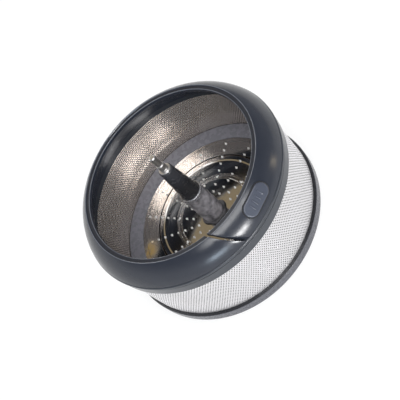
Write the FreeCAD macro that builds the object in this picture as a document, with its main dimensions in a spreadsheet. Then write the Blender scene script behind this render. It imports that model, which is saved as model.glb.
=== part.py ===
import FreeCAD, Part
import math
import os
import Sketcher

# Filter basket of a centrifugal juicer: a perforated drum on a moulded base, a toothed grater disc
# on the floor, a spindle on the axis and a split retaining ring that snaps into the top.
# Millimetres, +Z up along the spin axis, origin at the centre of the base's underside.
# The outer end of the ring's slit faces -Y.

# Driving sizes: name, number, what it measures
SIZES = [
    ("mesh_radius", 73.9, "outside of the perforated sheet"),
    ("mesh_wall", 0.5, "thickness of the perforated sheet"),
    ("mesh_band", 44.1, "height of sheet that shows between base and rim"),
    ("seat_depth", 3.6, "how far each edge of the sheet goes into its slot"),
    ("slot_clearance", 0.1, "room on each side of the sheet in its slots"),
    ("hole_width", 4.6, "width of a gap in the sheet"),
    ("hole_height", 11.4, "height of a gap in the sheet"),
    ("hole_columns", 40, "gaps in one row round the drum"),
    ("hole_row_pitch", 13.2, "height between two rows of gaps"),

    ("flange_overhang", 1.1, "flange beyond the sheet"),
    ("flange_height", 6.6, "straight side of the flange"),
    ("flange_wall", 4.5, "radial thickness of the flange"),
    ("flange_bevel", 0.8, "bevel of the flange's lower edge"),
    ("lip_rise", 2.2, "bevelled lip above the flange"),
    ("lip_wall", 0.3, "top of the lip outside the slot"),
    ("ledge_rise", 3.5, "inner lip above the outer lip"),
    ("ledge_drop", 2.2, "fall of the ledge from the sheet to the disc"),
    ("floor_wall", 2.6, "thickness of the floor"),
    ("boss_wall", 3.9, "wall of the central boss round the spigot"),
    ("boss_gap", 0.6, "boss above the surface that the base stands on"),
    ("rib_count", 8, "stiffening ribs under the floor"),
    ("rib_wall", 1.8, "thickness of a rib"),
    ("rib_gap", 1.6, "ribs above the surface that the base stands on"),

    ("disc_radius", 62.2, "grater disc"),
    ("disc_wall", 0.8, "sheet thickness of the grater disc"),
    ("disc_clearance", 0.2, "room round the disc in its seat"),
    ("disc_rim_width", 3.0, "flat rim of the disc"),
    ("disc_rise", 1.6, "toothed floor of the disc above its rim"),
    ("disc_shoulder", 1.6, "width of the slope between rim and floor"),
    ("outer_bead_inset", 15.4, "middle of the outer stamped bead from the disc's edge"),
    ("inner_bead_inset", 33.4, "middle of the inner stamped bead from the disc's edge"),
    ("bead_width", 2.8, "foot of a stamped bead"),
    ("bead_crown", 1.2, "flat top of a stamped bead"),
    ("bead_height", 0.8, "height of a stamped bead"),
    ("tooth_rows", 16, "rows of teeth round the disc"),
    ("tooth_pitch", 5.5, "distance between teeth in a row"),
    ("tooth_start", 4.5, "first tooth out from the hub's foot"),
    ("tooth_margin", 1.4, "middle of a tooth from a bead's edge"),
    ("tooth_width", 1.7, "foot of a tooth"),
    ("tooth_height", 1.5, "tooth above the disc"),
    ("tooth_tip", 0.3, "flat tip of a tooth"),
    ("tooth_bite", 0.4, "foot of a tooth below the disc's surface"),
    ("row_turn", 18.7, "first row of teeth, degrees from +X"),

    ("drive_radius", 5.5, "bore for the motor's drive shaft"),
    ("drive_depth", 12.0, "bore above the disc"),
    ("spline_count", 4, "spline grooves in the mouth of the bore"),
    ("spline_width", 2.0, "width of a spline groove"),
    ("spline_depth", 1.0, "spline groove beyond the bore"),
    ("spline_length", 5.0, "length of a spline groove"),

    ("hub_radius", 8.4, "thick lower part of the spindle"),
    ("hub_height", 32.3, "hub above the disc"),
    ("foot_radius", 10.5, "clamping foot of the hub"),
    ("foot_height", 1.8, "thickness of the clamping foot"),
    ("spigot_wall", 2.0, "wall of the hub's spigot round the bore"),
    ("spigot_length", 4.5, "spigot below the disc"),
    ("spigot_clearance", 0.1, "room round the spigot"),

    ("collar_radius", 8.6, "rounded collar of the sleeve"),
    ("collar_height", 2.6, "height of the collar"),
    ("collar_bevel", 0.8, "bevel of the collar's edges"),
    ("sleeve_low_radius", 7.2, "sleeve just above the collar"),
    ("sleeve_top_radius", 4.9, "sleeve at its upper end"),
    ("sleeve_height", 34.0, "sleeve with its collar"),
    ("washer_radius", 4.3, "washer on top of the sleeve"),
    ("washer_wall", 1.1, "thickness of the washer"),
    ("shaft_radius", 2.8, "steel shaft"),
    ("shaft_clearance", 0.1, "room round the shaft in sleeve and washer"),
    ("shaft_seat", 12.0, "shaft held in the hub"),
    ("shaft_stand", 5.5, "thick shaft above the washer"),
    ("tip_radius", 2.0, "tip that runs in the lid"),
    ("tip_length", 9.3, "length of the tip"),
    ("tip_bevel", 0.5, "bevel at the end of the tip"),

    ("rim_band_wall", 1.2, "rim outside the sheet's slot"),
    ("rim_band_height", 7.8, "straight side of the rim"),
    ("rim_inner_wall", 0.7, "rim inside the sheet's slot"),
    ("groove_height", 0.5, "groove between band and bead"),
    ("groove_depth", 0.7, "depth of that groove"),
    ("bead_overhang", 1.0, "rim's bead beyond the band"),
    ("bead_rise", 2.2, "height of the rim's bead"),
    ("bead_bevel", 0.5, "bevel of the bead's lower edge"),

    ("ring_inset", 0.3, "foot of the ring inside the bead"),
    ("dome_radius", 36.0, "curve of the ring's dome in section"),
    ("dome_width", 10.7, "dome from its foot to the crest"),
    ("dome_height", 14.5, "crest above the dome's foot"),
    ("ring_wall", 2.2, "thickness of the dome"),
    ("lip_width", 4.2, "lip inside the crest"),
    ("lip_drop", 1.6, "inner edge of the lip below the crest"),
    ("skirt_wall", 1.4, "skirt that goes down inside the rim"),
    ("skirt_length", 5.0, "length of the skirt"),
    ("skirt_clearance", 0.2, "room between skirt and rim"),
    ("snap_height", 0.5, "snap bead on the skirt"),
    ("snap_width", 1.6, "width of the snap bead"),

    ("slit_gap", 2.2, "width of the slit through the ring"),
    ("slit_radius", 27.5, "curve of the slit in plan"),
    ("slit_centre_x", 12.0, "centre of that curve beside the axis"),
    ("slit_centre_y", 50.4, "centre of that curve in front of the axis"),
    ("slit_turn", -134.0, "middle of the slit from that centre, degrees from +X"),
    ("slit_spread", 36.0, "slit each side of its middle, in degrees"),
    ("pad_angle", 17.6, "press pad round the ring, degrees from -Y"),
    ("pad_slope", 38.0, "direction that the pad faces, degrees above level"),
    ("pad_length", 22.7, "length of the press pad"),
    ("pad_width", 10.1, "width of the press pad"),
    ("pad_rise", 0.3, "face of the pad above the dome"),
    ("pad_depth", 1.6, "pad below its face"),
    ("grip_count", 4, "grip bars on the pad"),
    ("grip_pitch", 3.4, "distance between grip bars"),
    ("grip_length", 4.6, "length of a grip bar"),
    ("grip_width", 1.1, "width of a grip bar"),
    ("grip_rise", 0.5, "grip bar above the pad"),
]

# Places worked out from the sizes: name, formula, what it is
LAYOUT = [
    ("mesh_inner", "sizes.mesh_radius - sizes.mesh_wall", "inside of the sheet"),
    ("slot_outer", "sizes.mesh_radius + sizes.slot_clearance", "outer wall of both slots"),
    ("slot_inner", "layout.mesh_inner - sizes.slot_clearance", "inner wall of both slots"),
    ("lip_level", "sizes.flange_height + sizes.lip_rise", "top of the outer lip"),
    ("mesh_low", "layout.lip_level - sizes.seat_depth", "lower edge of the sheet"),
    ("rim_low", "layout.lip_level + sizes.mesh_band", "underside of the rim"),
    ("mesh_top", "layout.rim_low + sizes.seat_depth", "upper edge of the sheet"),
    ("hole_half_width", "sizes.hole_width / 2", "half a gap's width"),
    ("hole_half_height", "sizes.hole_height / 2", "half a gap's height"),
    ("hole_level", "(layout.ledge_level + layout.rim_low) / 2", "middle row of gaps"),
    ("hole_low_level", "layout.hole_level - sizes.hole_row_pitch", "lowest row of gaps"),
    ("hole_step", "2 * sizes.hole_row_pitch", "height between rows with the same turn"),
    ("hole_turn", "180 / sizes.hole_columns", "turn between two neighbouring rows"),
    ("hole_plane", "layout.mesh_inner - sizes.hole_width / 2", "where the cut of a gap starts"),
    ("hole_reach", "sizes.mesh_wall + sizes.hole_width", "depth of that cut"),

    ("flange_radius", "sizes.mesh_radius + sizes.flange_overhang", "outside of the base"),
    ("flange_inner", "layout.flange_radius - sizes.flange_wall", "inside of the flange"),
    ("flange_toe", "layout.flange_radius - sizes.flange_bevel", "flat underside of the flange ends"),
    ("lip_outer", "layout.slot_outer + sizes.lip_wall", "top edge of the bevelled lip"),
    ("ledge_level", "layout.lip_level + sizes.ledge_rise", "ledge beside the sheet"),
    ("disc_level", "layout.ledge_level - sizes.ledge_drop", "top of the disc's rim and foot of the ledge"),
    ("seat_level", "layout.disc_level - sizes.disc_wall", "floor, which the disc's rim rests on"),
    ("seat_outer", "sizes.disc_radius + sizes.disc_clearance", "wall round the disc"),
    ("floor_under", "layout.seat_level - sizes.floor_wall", "underside of the floor"),
    ("rib_height", "layout.floor_under - sizes.rib_gap", "height of a rib"),
    ("rib_half", "sizes.rib_wall / 2", "half a rib's thickness"),
    ("rib_start", "layout.boss_radius - layout.rib_half", "rib's inner end, in the boss"),
    ("rib_end", "layout.flange_inner + layout.rib_half", "rib's outer end, in the flange"),

    ("boss_radius", "layout.disc_hole + sizes.boss_wall", "outside of the boss"),
    ("disc_inner_level", "layout.disc_level + sizes.disc_rise", "top of the disc's toothed floor"),
    ("boss_level", "layout.disc_inner_level - sizes.disc_wall", "top of the boss under the disc"),
    ("shoulder_outer", "sizes.disc_radius - sizes.disc_rim_width", "outer edge of the disc's slope"),
    ("shoulder_inner", "layout.shoulder_outer - sizes.disc_shoulder", "inner edge of the disc's slope"),
    ("disc_hole", "layout.spigot_radius + sizes.spigot_clearance", "hole in the disc and the boss"),
    ("bead_half", "sizes.bead_width / 2", "half a stamped bead's width"),
    ("crown_half", "sizes.bead_crown / 2", "half the top of a stamped bead"),
    ("bead_top", "layout.disc_inner_level + sizes.bead_height", "top of a stamped bead"),
    ("bead_under", "layout.boss_level + sizes.bead_height", "hollow under a stamped bead"),
    ("tooth_half", "sizes.tooth_width / 2", "half a tooth's foot"),
    ("tooth_reach", "sizes.tooth_height + sizes.tooth_bite", "whole height of a tooth"),
    ("tooth_level", "layout.disc_inner_level - sizes.tooth_bite", "foot of a tooth"),
    ("tip_half", "sizes.tooth_tip / 2", "half a tooth's tip"),
    ("row_count", "sizes.tooth_rows / 2", "rows with the same start"),
    ("row_step", "360 / sizes.tooth_rows", "turn between two neighbouring rows"),
    ("stagger_turn", "sizes.row_turn + layout.row_step", "first staggered row, degrees from +X"),
    ("inner_start", "sizes.foot_radius + sizes.tooth_start", "first tooth of the inner zone"),
    ("inner_end", "layout.inner_bead_in - sizes.tooth_margin", "end of the inner zone's teeth"),
    ("middle_start", "layout.inner_bead_out + sizes.tooth_margin", "first tooth of the middle zone"),
    ("middle_end", "layout.outer_bead_in - sizes.tooth_margin", "end of the middle zone's teeth"),
    ("outer_start", "layout.outer_bead_out + sizes.tooth_margin", "first tooth of the outer zone"),
    ("outer_end", "layout.shoulder_inner - sizes.tooth_margin", "end of the outer zone's teeth"),

    ("spigot_radius", "sizes.drive_radius + sizes.spigot_wall", "outside of the spigot"),
    ("spigot_level", "layout.boss_level - sizes.spigot_length", "end of the spigot"),
    ("foot_level", "layout.disc_inner_level + sizes.foot_height", "top of the clamping foot"),
    ("hub_top", "layout.disc_inner_level + sizes.hub_height", "top of the hub"),
    ("drive_top", "layout.disc_inner_level + sizes.drive_depth", "blind end of the drive bore"),
    ("spline_half", "sizes.spline_width / 2", "half a spline groove's width"),
    ("spline_outer", "sizes.drive_radius + sizes.spline_depth", "bottom of a spline groove"),

    ("collar_flat", "sizes.collar_radius - sizes.collar_bevel", "flat of the collar inside its bevel"),
    ("collar_low", "layout.hub_top + sizes.collar_bevel", "where the collar's lower bevel ends"),
    ("collar_high", "layout.collar_top - sizes.collar_bevel", "where the collar's upper bevel starts"),
    ("collar_top", "layout.hub_top + sizes.collar_height", "top of the collar"),
    ("sleeve_top", "layout.hub_top + sizes.sleeve_height", "top of the sleeve"),
    ("shaft_bore", "sizes.shaft_radius + sizes.shaft_clearance", "bore of sleeve and washer"),
    ("washer_top", "layout.sleeve_top + sizes.washer_wall", "top of the washer"),
    ("shaft_low", "layout.hub_top - sizes.shaft_seat", "lower end of the shaft"),
    ("shoulder_level", "layout.washer_top + sizes.shaft_stand", "step between shaft and tip"),
    ("tip_level", "layout.shoulder_level + sizes.tip_length", "end of the tip"),
    ("tip_edge", "layout.tip_level - sizes.tip_bevel", "lower edge of the tip's bevel"),
    ("tip_face", "sizes.tip_radius - sizes.tip_bevel", "end face of the tip"),

    ("band_radius", "layout.slot_outer + sizes.rim_band_wall", "outside of the rim's band"),
    ("band_top", "layout.rim_low + sizes.rim_band_height", "top of the rim's band"),
    ("groove_radius", "layout.band_radius - sizes.groove_depth", "bottom of the rim's groove"),
    ("bead_low", "layout.band_top + sizes.groove_height", "underside of the rim's bead"),
    ("bead_radius", "layout.band_radius + sizes.bead_overhang", "outside of the rim's bead"),
    ("bead_corner", "layout.bead_radius - sizes.bead_bevel", "where the bead's bevel starts"),
    ("bead_side", "layout.bead_low + sizes.bead_bevel", "where the bead's bevel ends"),
    ("rim_top", "layout.bead_low + sizes.bead_rise", "top of the rim and foot of the ring"),
    ("rim_inner", "layout.slot_inner - sizes.rim_inner_wall", "inside of the rim"),

    ("ring_outer", "layout.bead_radius - sizes.ring_inset", "foot of the dome"),
    ("crest_radius", "layout.ring_outer - sizes.dome_width", "crest between dome and lip"),
    ("crest_level", "layout.rim_top + sizes.dome_height", "top of the ring"),
    ("dome_chord", "sqrt(sizes.dome_width ^ 2 + sizes.dome_height ^ 2)", "straight line across the dome"),
    ("dome_reach", "sqrt(sizes.dome_radius ^ 2 - (layout.dome_chord / 2) ^ 2)", "its centre from that line"),
    ("dome_centre_radius", "(layout.ring_outer + layout.crest_radius) / 2"
     " - layout.dome_reach * sizes.dome_height / layout.dome_chord", "dome's centre out from the axis"),
    ("dome_centre_level", "(layout.rim_top + layout.crest_level) / 2"
     " - layout.dome_reach * sizes.dome_width / layout.dome_chord", "height of the dome's centre"),
    ("under_radius", "sizes.dome_radius - sizes.ring_wall", "curve of the dome's underside"),
    ("under_level", "layout.crest_level - sizes.ring_wall", "underside of the dome at the crest"),
    ("under_inner", "layout.dome_centre_radius + sqrt(layout.under_radius ^ 2"
     " - (layout.under_level - layout.dome_centre_level) ^ 2)", "end of the dome's underside"),
    ("edge_radius", "layout.crest_radius - sizes.lip_width", "inner edge of the ring"),
    ("edge_level", "layout.crest_level - sizes.lip_drop", "top of that edge"),
    ("edge_under", "layout.edge_level - sizes.ring_wall", "underside of that edge"),
    ("skirt_outer", "layout.rim_inner - sizes.skirt_clearance", "outside of the skirt"),
    ("skirt_inner", "layout.skirt_outer - sizes.skirt_wall", "inside of the skirt"),
    ("skirt_root", "layout.dome_centre_level + sqrt(layout.under_radius ^ 2"
     " - (layout.skirt_inner - layout.dome_centre_radius) ^ 2)", "skirt meets the dome's underside"),
    ("skirt_low", "layout.rim_top - sizes.skirt_length", "lower end of the skirt"),
    ("snap_level", "layout.rim_top - sizes.skirt_length / 2", "middle of the snap bead"),
    ("snap_low", "layout.snap_level - sizes.snap_width / 2", "snap bead's lower edge"),
    ("snap_high", "layout.snap_level + sizes.snap_width / 2", "snap bead's upper edge"),
    ("snap_radius", "layout.skirt_outer + sizes.snap_height", "peak of the snap bead"),
    ("catch_radius", "layout.rim_inner + sizes.snap_height", "bottom of the catch groove"),

    ("slit_inner", "sizes.slit_radius - sizes.slit_gap / 2", "inner edge of the slit"),
    ("slit_outer", "sizes.slit_radius + sizes.slit_gap / 2", "outer edge of the slit"),
    ("slit_inner_run", "layout.slit_inner * cos(sizes.slit_spread * 1 deg)", "ends of its inner edge, along"),
    ("slit_inner_half", "layout.slit_inner * sin(sizes.slit_spread * 1 deg)", "ends of that edge, across"),
    ("slit_outer_run", "layout.slit_outer * cos(sizes.slit_spread * 1 deg)", "ends of its outer edge, along"),
    ("slit_outer_half", "layout.slit_outer * sin(sizes.slit_spread * 1 deg)", "ends of that edge, across"),
    ("slit_low", "layout.skirt_low - sizes.slit_gap", "slit starts below the skirt"),
    ("slit_reach", "layout.crest_level - layout.slit_low + sizes.slit_gap", "slit ends above the crest"),
    ("pad_tilt", "90 - sizes.pad_slope", "lean of the pad from level"),
    ("pad_reach", "sizes.dome_radius + sizes.pad_rise", "pad's face from the dome's centre"),
    ("pad_out", "layout.dome_centre_radius + layout.pad_reach * cos(sizes.pad_slope * 1 deg)",
     "pad's face out from the axis"),
    ("pad_level", "layout.dome_centre_level + layout.pad_reach * sin(sizes.pad_slope * 1 deg)",
     "height of the pad's face"),
    ("pad_x", "layout.pad_out * sin(sizes.pad_angle * 1 deg)", "pad's place along X"),
    ("pad_y", "-layout.pad_out * cos(sizes.pad_angle * 1 deg)", "pad's place along Y"),
    ("pad_half_width", "sizes.pad_width / 2", "half the pad's width"),
    ("pad_flat", "sizes.pad_length / 2 - layout.pad_half_width", "middle of the pad's round ends"),
    ("grip_start", "sizes.grip_pitch * (sizes.grip_count - 1) / 2", "middle of the first grip bar"),
    ("grip_low", "layout.grip_start + sizes.grip_width / 2", "outer side of the first grip bar"),
    ("grip_high", "layout.grip_start - sizes.grip_width / 2", "inner side of the first grip bar"),
    ("grip_half", "sizes.grip_length / 2", "half a grip bar's length"),
]


def bead_rows(bead):
    """Corners of a stamped bead on the disc, from the outside in."""
    middle = "layout.%s_bead_radius" % bead
    return [
        (bead + "_bead_radius", "sizes.disc_radius - sizes.%s_bead_inset" % bead, "middle of the bead"),
        (bead + "_bead_out", middle + " + layout.bead_half", "outer foot of the bead"),
        (bead + "_crown_out", middle + " + layout.crown_half", "outer edge of its crown"),
        (bead + "_crown_in", middle + " - layout.crown_half", "inner edge of its crown"),
        (bead + "_bead_in", middle + " - layout.bead_half", "inner foot of the bead"),
    ]


LAYOUT += bead_rows("outer") + bead_rows("inner")

doc = FreeCAD.newDocument("juicer_mesh_screen")


def fill_sheet(name, rows):
    sheet = doc.addObject("Spreadsheet::Sheet", name)
    for line, (alias, content, note) in enumerate(rows, start=1):
        sheet.set("A%d" % line, note)
        sheet.setAlias("B%d" % line, alias)
    for line, (alias, content, note) in enumerate(rows, start=1):
        sheet.set("B%d" % line, str(content))
    return sheet


sizes = fill_sheet("sizes", SIZES)
layout = fill_sheet("layout", [(alias, "=" + formula, note) for alias, formula, note in LAYOUT])
doc.recompute()


def value(path):
    """Number behind a path such as layout.rim_top, with an optional minus sign."""
    sheet_name, alias = path.lstrip("-").split(".")
    cell = doc.getObject(sheet_name).get(alias)
    number = getattr(cell, "Value", cell)
    return -number if path.startswith("-") else number


def new_body(label):
    body = doc.addObject("PartDesign::Body", label)
    body.Label = label
    return body


def new_sketch(body, name, role):
    sketch = body.newObject("Sketcher::SketchObject", name)
    plane = [feature for feature in body.Origin.OriginFeatures if feature.Role == role][0]
    sketch.AttachmentSupport = [(plane, "")]
    sketch.MapMode = "FlatFace"
    return sketch


def shift(item, **places):
    """Binds an item's offset from the plane it sits on, such as Base_z="layout.rim_top"."""
    for place, path in places.items():
        item.setExpression("AttachmentOffset." + place.replace("_", "."), path)


def bind(sketch, constraint, path):
    index = sketch.addConstraint(constraint)
    sketch.setExpression("Constraints[%d]" % index, path)


def pin_point(sketch, geometry, point, x_path, y_path):
    """Fixes a point of a sketch at two paths; None puts it on the axis."""
    if x_path is None:
        sketch.addConstraint(Sketcher.Constraint("PointOnObject", geometry, point, -2))
    else:
        bind(sketch, Sketcher.Constraint("DistanceX", -1, 1, geometry, point, value(x_path)), x_path)
    if y_path is None:
        sketch.addConstraint(Sketcher.Constraint("PointOnObject", geometry, point, -1))
    else:
        bind(sketch, Sketcher.Constraint("DistanceY", -1, 1, geometry, point, value(y_path)), y_path)


def arc_between(start, end, radius, turn):
    """Arc from start to end; turn 1 runs anticlockwise, -1 clockwise."""
    chord = end - start
    reach = math.sqrt(radius ** 2 - (chord.Length / 2) ** 2)
    side = FreeCAD.Vector(-chord.y, chord.x, 0) / chord.Length
    centre = (start + end) / 2 + side * reach * turn
    first, last = (start, end) if turn > 0 else (end, start)
    first_angle = math.atan2(first.y - centre.y, first.x - centre.x)
    last_angle = math.atan2(last.y - centre.y, last.x - centre.x)
    circle = Part.Circle(centre, FreeCAD.Vector(0, 0, 1), radius)
    return Part.ArcOfCircle(circle, first_angle, last_angle)


def outline(sketch, corners):
    """Closed outline through corners (x, y), bound to the sheets; (x, y, radius, turn) starts an arc."""
    points = []
    for corner in corners:
        points.append(FreeCAD.Vector(*[0 if path is None else value(path) for path in corner[:2]]))
    count = len(corners)
    ends = []
    for index, corner in enumerate(corners):
        start = points[index]
        end = points[(index + 1) % count]
        if len(corner) == 2:
            ends.append((sketch.addGeometry(Part.LineSegment(start, end), False), 1, 2))
            continue
        radius_path, turn = corner[2:]
        geometry = sketch.addGeometry(arc_between(start, end, value(radius_path), turn), False)
        ends.append((geometry, 1, 2) if turn > 0 else (geometry, 2, 1))
    for index, (geometry, first, last) in enumerate(ends):
        following, following_first, _ = ends[(index + 1) % count]
        sketch.addConstraint(Sketcher.Constraint("Coincident", geometry, last, following, following_first))
        pin_point(sketch, geometry, first, *corners[index][:2])
        if len(corners[index]) == 4:
            radius_path = corners[index][2]
            bind(sketch, Sketcher.Constraint("Radius", geometry, value(radius_path)), radius_path)


def rectangle(sketch, low_x, high_x, half_y):
    outline(sketch, [(low_x, "-" + half_y), (high_x, "-" + half_y), (high_x, half_y), (low_x, half_y)])


def oval(sketch, flat, half_width):
    """Two straight sides joined by half circles, with the middle at the origin."""
    reach = value(flat)
    half = value(half_width)
    ends = ((-reach, -half), (reach, -half), (reach, half), (-reach, half))
    corners = [FreeCAD.Vector(*end) for end in ends]
    for side in (0, 2):
        sketch.addGeometry(Part.LineSegment(corners[side], corners[side + 1]), False)
        sketch.addGeometry(arc_between(corners[side + 1], corners[(side + 2) % 4], half, 1), False)
    for index in range(4):
        sketch.addConstraint(Sketcher.Constraint("Tangent", index, 2, (index + 1) % 4, 1))
    for arc, path in ((1, flat), (3, "-" + flat)):
        pin_point(sketch, arc, 3, path, None)
    bind(sketch, Sketcher.Constraint("Radius", 1, half), half_width)


def revolve(body, corners):
    sketch = new_sketch(body, body.Label + "_section", "XZ_Plane")
    outline(sketch, corners)
    turned = body.newObject("PartDesign::Revolution", body.Label + "_turned")
    turned.Profile = sketch
    turned.ReferenceAxis = (sketch, ["V_Axis"])
    turned.Angle = 360
    return turned


def raise_from(body, sketch, path, downwards=False):
    pad = body.newObject("PartDesign::Pad", sketch.Name + "_pad")
    pad.Profile = sketch
    pad.Reversed = downwards
    pad.setExpression("Length", path)
    return pad


def cut_from(body, sketch, path, forwards=True):
    pocket = body.newObject("PartDesign::Pocket", sketch.Name + "_pocket")
    pocket.Profile = sketch
    pocket.Reversed = forwards
    pocket.setExpression("Length", path)
    return pocket


def spin_axis(body):
    return ([feature for feature in body.Origin.OriginFeatures if feature.Role == "Z_Axis"][0], [""])


def polar(body, name, count_path):
    pattern = body.newObject("PartDesign::PolarPattern", name)
    pattern.Axis = spin_axis(body)
    pattern.Angle = 360
    pattern.setExpression("Occurrences", count_path)
    return pattern


def repeat_round(body, feature, count_path):
    pattern = polar(body, feature.Name + "_round", count_path)
    pattern.Originals = [feature]
    body.Tip = pattern
    return pattern


def repeat_grid(body, feature, direction, pitch_path, line_count, count_path):
    """Repeats a feature in a straight line, and that line round the axis."""
    line = body.newObject("PartDesign::LinearPattern", feature.Name + "_line")
    line.Direction = direction
    line.Mode = "Spacing"
    line.setExpression("Offset", pitch_path)
    if isinstance(line_count, str):
        line.setExpression("Occurrences", line_count)
    else:
        line.Occurrences = line_count
    ring = polar(body, feature.Name + "_ring", count_path)
    grid = body.newObject("PartDesign::MultiTransform", feature.Name + "_grid")
    grid.Originals = [feature]
    grid.Transformations = [line, ring]
    body.Tip = grid
    return grid


def make_base():
    body = new_body("base")
    revolve(body, [
        ("sizes.drive_radius", "sizes.boss_gap"),
        ("layout.boss_radius", "sizes.boss_gap"),
        ("layout.boss_radius", "layout.floor_under"),
        ("layout.flange_inner", "layout.floor_under"),
        ("layout.flange_inner", None),
        ("layout.flange_toe", None),
        ("layout.flange_radius", "sizes.flange_bevel"),
        ("layout.flange_radius", "sizes.flange_height"),
        ("layout.lip_outer", "layout.lip_level"),
        ("layout.slot_outer", "layout.lip_level"),
        ("layout.slot_outer", "layout.mesh_low"),
        ("layout.slot_inner", "layout.mesh_low"),
        ("layout.slot_inner", "layout.ledge_level"),
        ("layout.seat_outer", "layout.disc_level"),
        ("layout.seat_outer", "layout.seat_level"),
        ("layout.boss_radius", "layout.seat_level"),
        ("layout.boss_radius", "layout.boss_level"),
        ("layout.disc_hole", "layout.boss_level"),
        ("layout.disc_hole", "layout.spigot_level"),
        ("sizes.drive_radius", "layout.spigot_level"),
    ])
    rib = new_sketch(body, "rib", "XY_Plane")
    shift(rib, Base_z="sizes.rib_gap")
    rectangle(rib, "layout.rib_start", "layout.rib_end", "layout.rib_half")
    repeat_round(body, raise_from(body, rib, "layout.rib_height"), "sizes.rib_count")
    spline = new_sketch(body, "spline", "XY_Plane")
    shift(spline, Base_z="sizes.boss_gap")
    rectangle(spline, "layout.spline_half", "layout.spline_outer", "layout.spline_half")
    repeat_round(body, cut_from(body, spline, "sizes.spline_length"), "sizes.spline_count")
    return body


def make_mesh_screen():
    body = new_body("mesh_screen")
    revolve(body, [
        ("layout.mesh_inner", "layout.mesh_low"),
        ("sizes.mesh_radius", "layout.mesh_low"),
        ("sizes.mesh_radius", "layout.mesh_top"),
        ("layout.mesh_inner", "layout.mesh_top"),
    ])
    for name, level, turn, line_count in (("straight_row", "layout.hole_low_level", "0", 2),
                                          ("turned_row", "layout.hole_level", "layout.hole_turn", 1)):
        hole = new_sketch(body, name, "XZ_Plane")
        shift(hole, Base_x="layout.hole_plane * sin(%s * 1 deg)" % turn, Base_y=level,
              Base_z="layout.hole_plane * cos(%s * 1 deg)" % turn, Rotation_Pitch=turn)
        rectangle(hole, "-layout.hole_half_width", "layout.hole_half_width", "layout.hole_half_height")
        cut = cut_from(body, hole, "layout.hole_reach")
        if line_count == 1:
            repeat_round(body, cut, "sizes.hole_columns")
        else:
            repeat_grid(body, cut, (hole, ["V_Axis"]), "layout.hole_step", line_count, "sizes.hole_columns")
    return body


def disc_side(rim_level, floor_level, crown_level):
    """One side of the disc's sheet in section, from the rim to the hole."""
    corners = [
        ("sizes.disc_radius", rim_level),
        ("layout.shoulder_outer", rim_level),
        ("layout.shoulder_inner", floor_level),
    ]
    for bead in ("outer", "inner"):
        corners += [
            ("layout.%s_bead_out" % bead, floor_level),
            ("layout.%s_crown_out" % bead, crown_level),
            ("layout.%s_crown_in" % bead, crown_level),
            ("layout.%s_bead_in" % bead, floor_level),
        ]
    return corners + [("layout.disc_hole", floor_level)]


def add_teeth(body, row, zone, stagger):
    """Teeth of one zone of the disc: a pyramid repeated along the row and round the axis."""
    tooth = body.newObject("PartDesign::AdditiveWedge", "%s_%s_tooth" % (row.Name, zone))
    tooth.AttachmentSupport = [(row, "")]
    tooth.MapMode = "ObjectXY"
    start = "(layout.%s_start + %s)" % (zone, stagger)
    shift(tooth, Base_x=start, Rotation_Roll="90")
    for edge, path in (("min", "-layout.tooth_half"), ("max", "layout.tooth_half"),
                       ("2min", "-layout.tip_half"), ("2max", "layout.tip_half")):
        tooth.setExpression("X" + edge, path)
        tooth.setExpression("Z" + edge, path)
    tooth.setExpression("Ymin", "0")
    tooth.setExpression("Ymax", "layout.tooth_reach")
    repeat_grid(body, tooth, (row, ["H_Axis"]), "sizes.tooth_pitch",
                "floor((layout.%s_end - %s) / sizes.tooth_pitch) + 1" % (zone, start), "layout.row_count")


def make_grater_disc():
    body = new_body("grater_disc")
    top = disc_side("layout.disc_level", "layout.disc_inner_level", "layout.bead_top")
    under = disc_side("layout.seat_level", "layout.boss_level", "layout.bead_under")
    revolve(body, top + under[::-1])
    for name, turn, stagger in (("row", "sizes.row_turn", "0"),
                                ("staggered_row", "layout.stagger_turn", "sizes.tooth_pitch / 2")):
        row = new_sketch(body, name, "XY_Plane")
        shift(row, Base_z="layout.tooth_level", Rotation_Yaw=turn)
        row.addGeometry(Part.LineSegment(FreeCAD.Vector(value("layout.inner_start"), 0),
                                         FreeCAD.Vector(value("layout.outer_end"), 0)), False)
        pin_point(row, 0, 1, "layout.inner_start", None)
        pin_point(row, 0, 2, "layout.outer_end", None)
        for zone in ("inner", "middle", "outer"):
            add_teeth(body, row, zone, stagger)
    return body


def make_hub():
    body = new_body("hub")
    revolve(body, [
        ("sizes.drive_radius", "layout.spigot_level"),
        ("layout.spigot_radius", "layout.spigot_level"),
        ("layout.spigot_radius", "layout.disc_inner_level"),
        ("sizes.foot_radius", "layout.disc_inner_level"),
        ("sizes.foot_radius", "layout.foot_level"),
        ("sizes.hub_radius", "layout.foot_level"),
        ("sizes.hub_radius", "layout.hub_top"),
        ("layout.shaft_bore", "layout.hub_top"),
        ("layout.shaft_bore", "layout.shaft_low"),
        (None, "layout.shaft_low"),
        (None, "layout.drive_top"),
        ("sizes.drive_radius", "layout.drive_top"),
    ])
    return body


def make_spindle_sleeve():
    body = new_body("spindle_sleeve")
    revolve(body, [
        ("layout.shaft_bore", "layout.hub_top"),
        ("layout.collar_flat", "layout.hub_top"),
        ("sizes.collar_radius", "layout.collar_low"),
        ("sizes.collar_radius", "layout.collar_high"),
        ("layout.collar_flat", "layout.collar_top"),
        ("sizes.sleeve_low_radius", "layout.collar_top"),
        ("sizes.sleeve_top_radius", "layout.sleeve_top"),
        ("layout.shaft_bore", "layout.sleeve_top"),
    ])
    return body


def make_sleeve_washer():
    body = new_body("sleeve_washer")
    revolve(body, [
        ("layout.shaft_bore", "layout.sleeve_top"),
        ("sizes.washer_radius", "layout.sleeve_top"),
        ("sizes.washer_radius", "layout.washer_top"),
        ("layout.shaft_bore", "layout.washer_top"),
    ])
    return body


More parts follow.
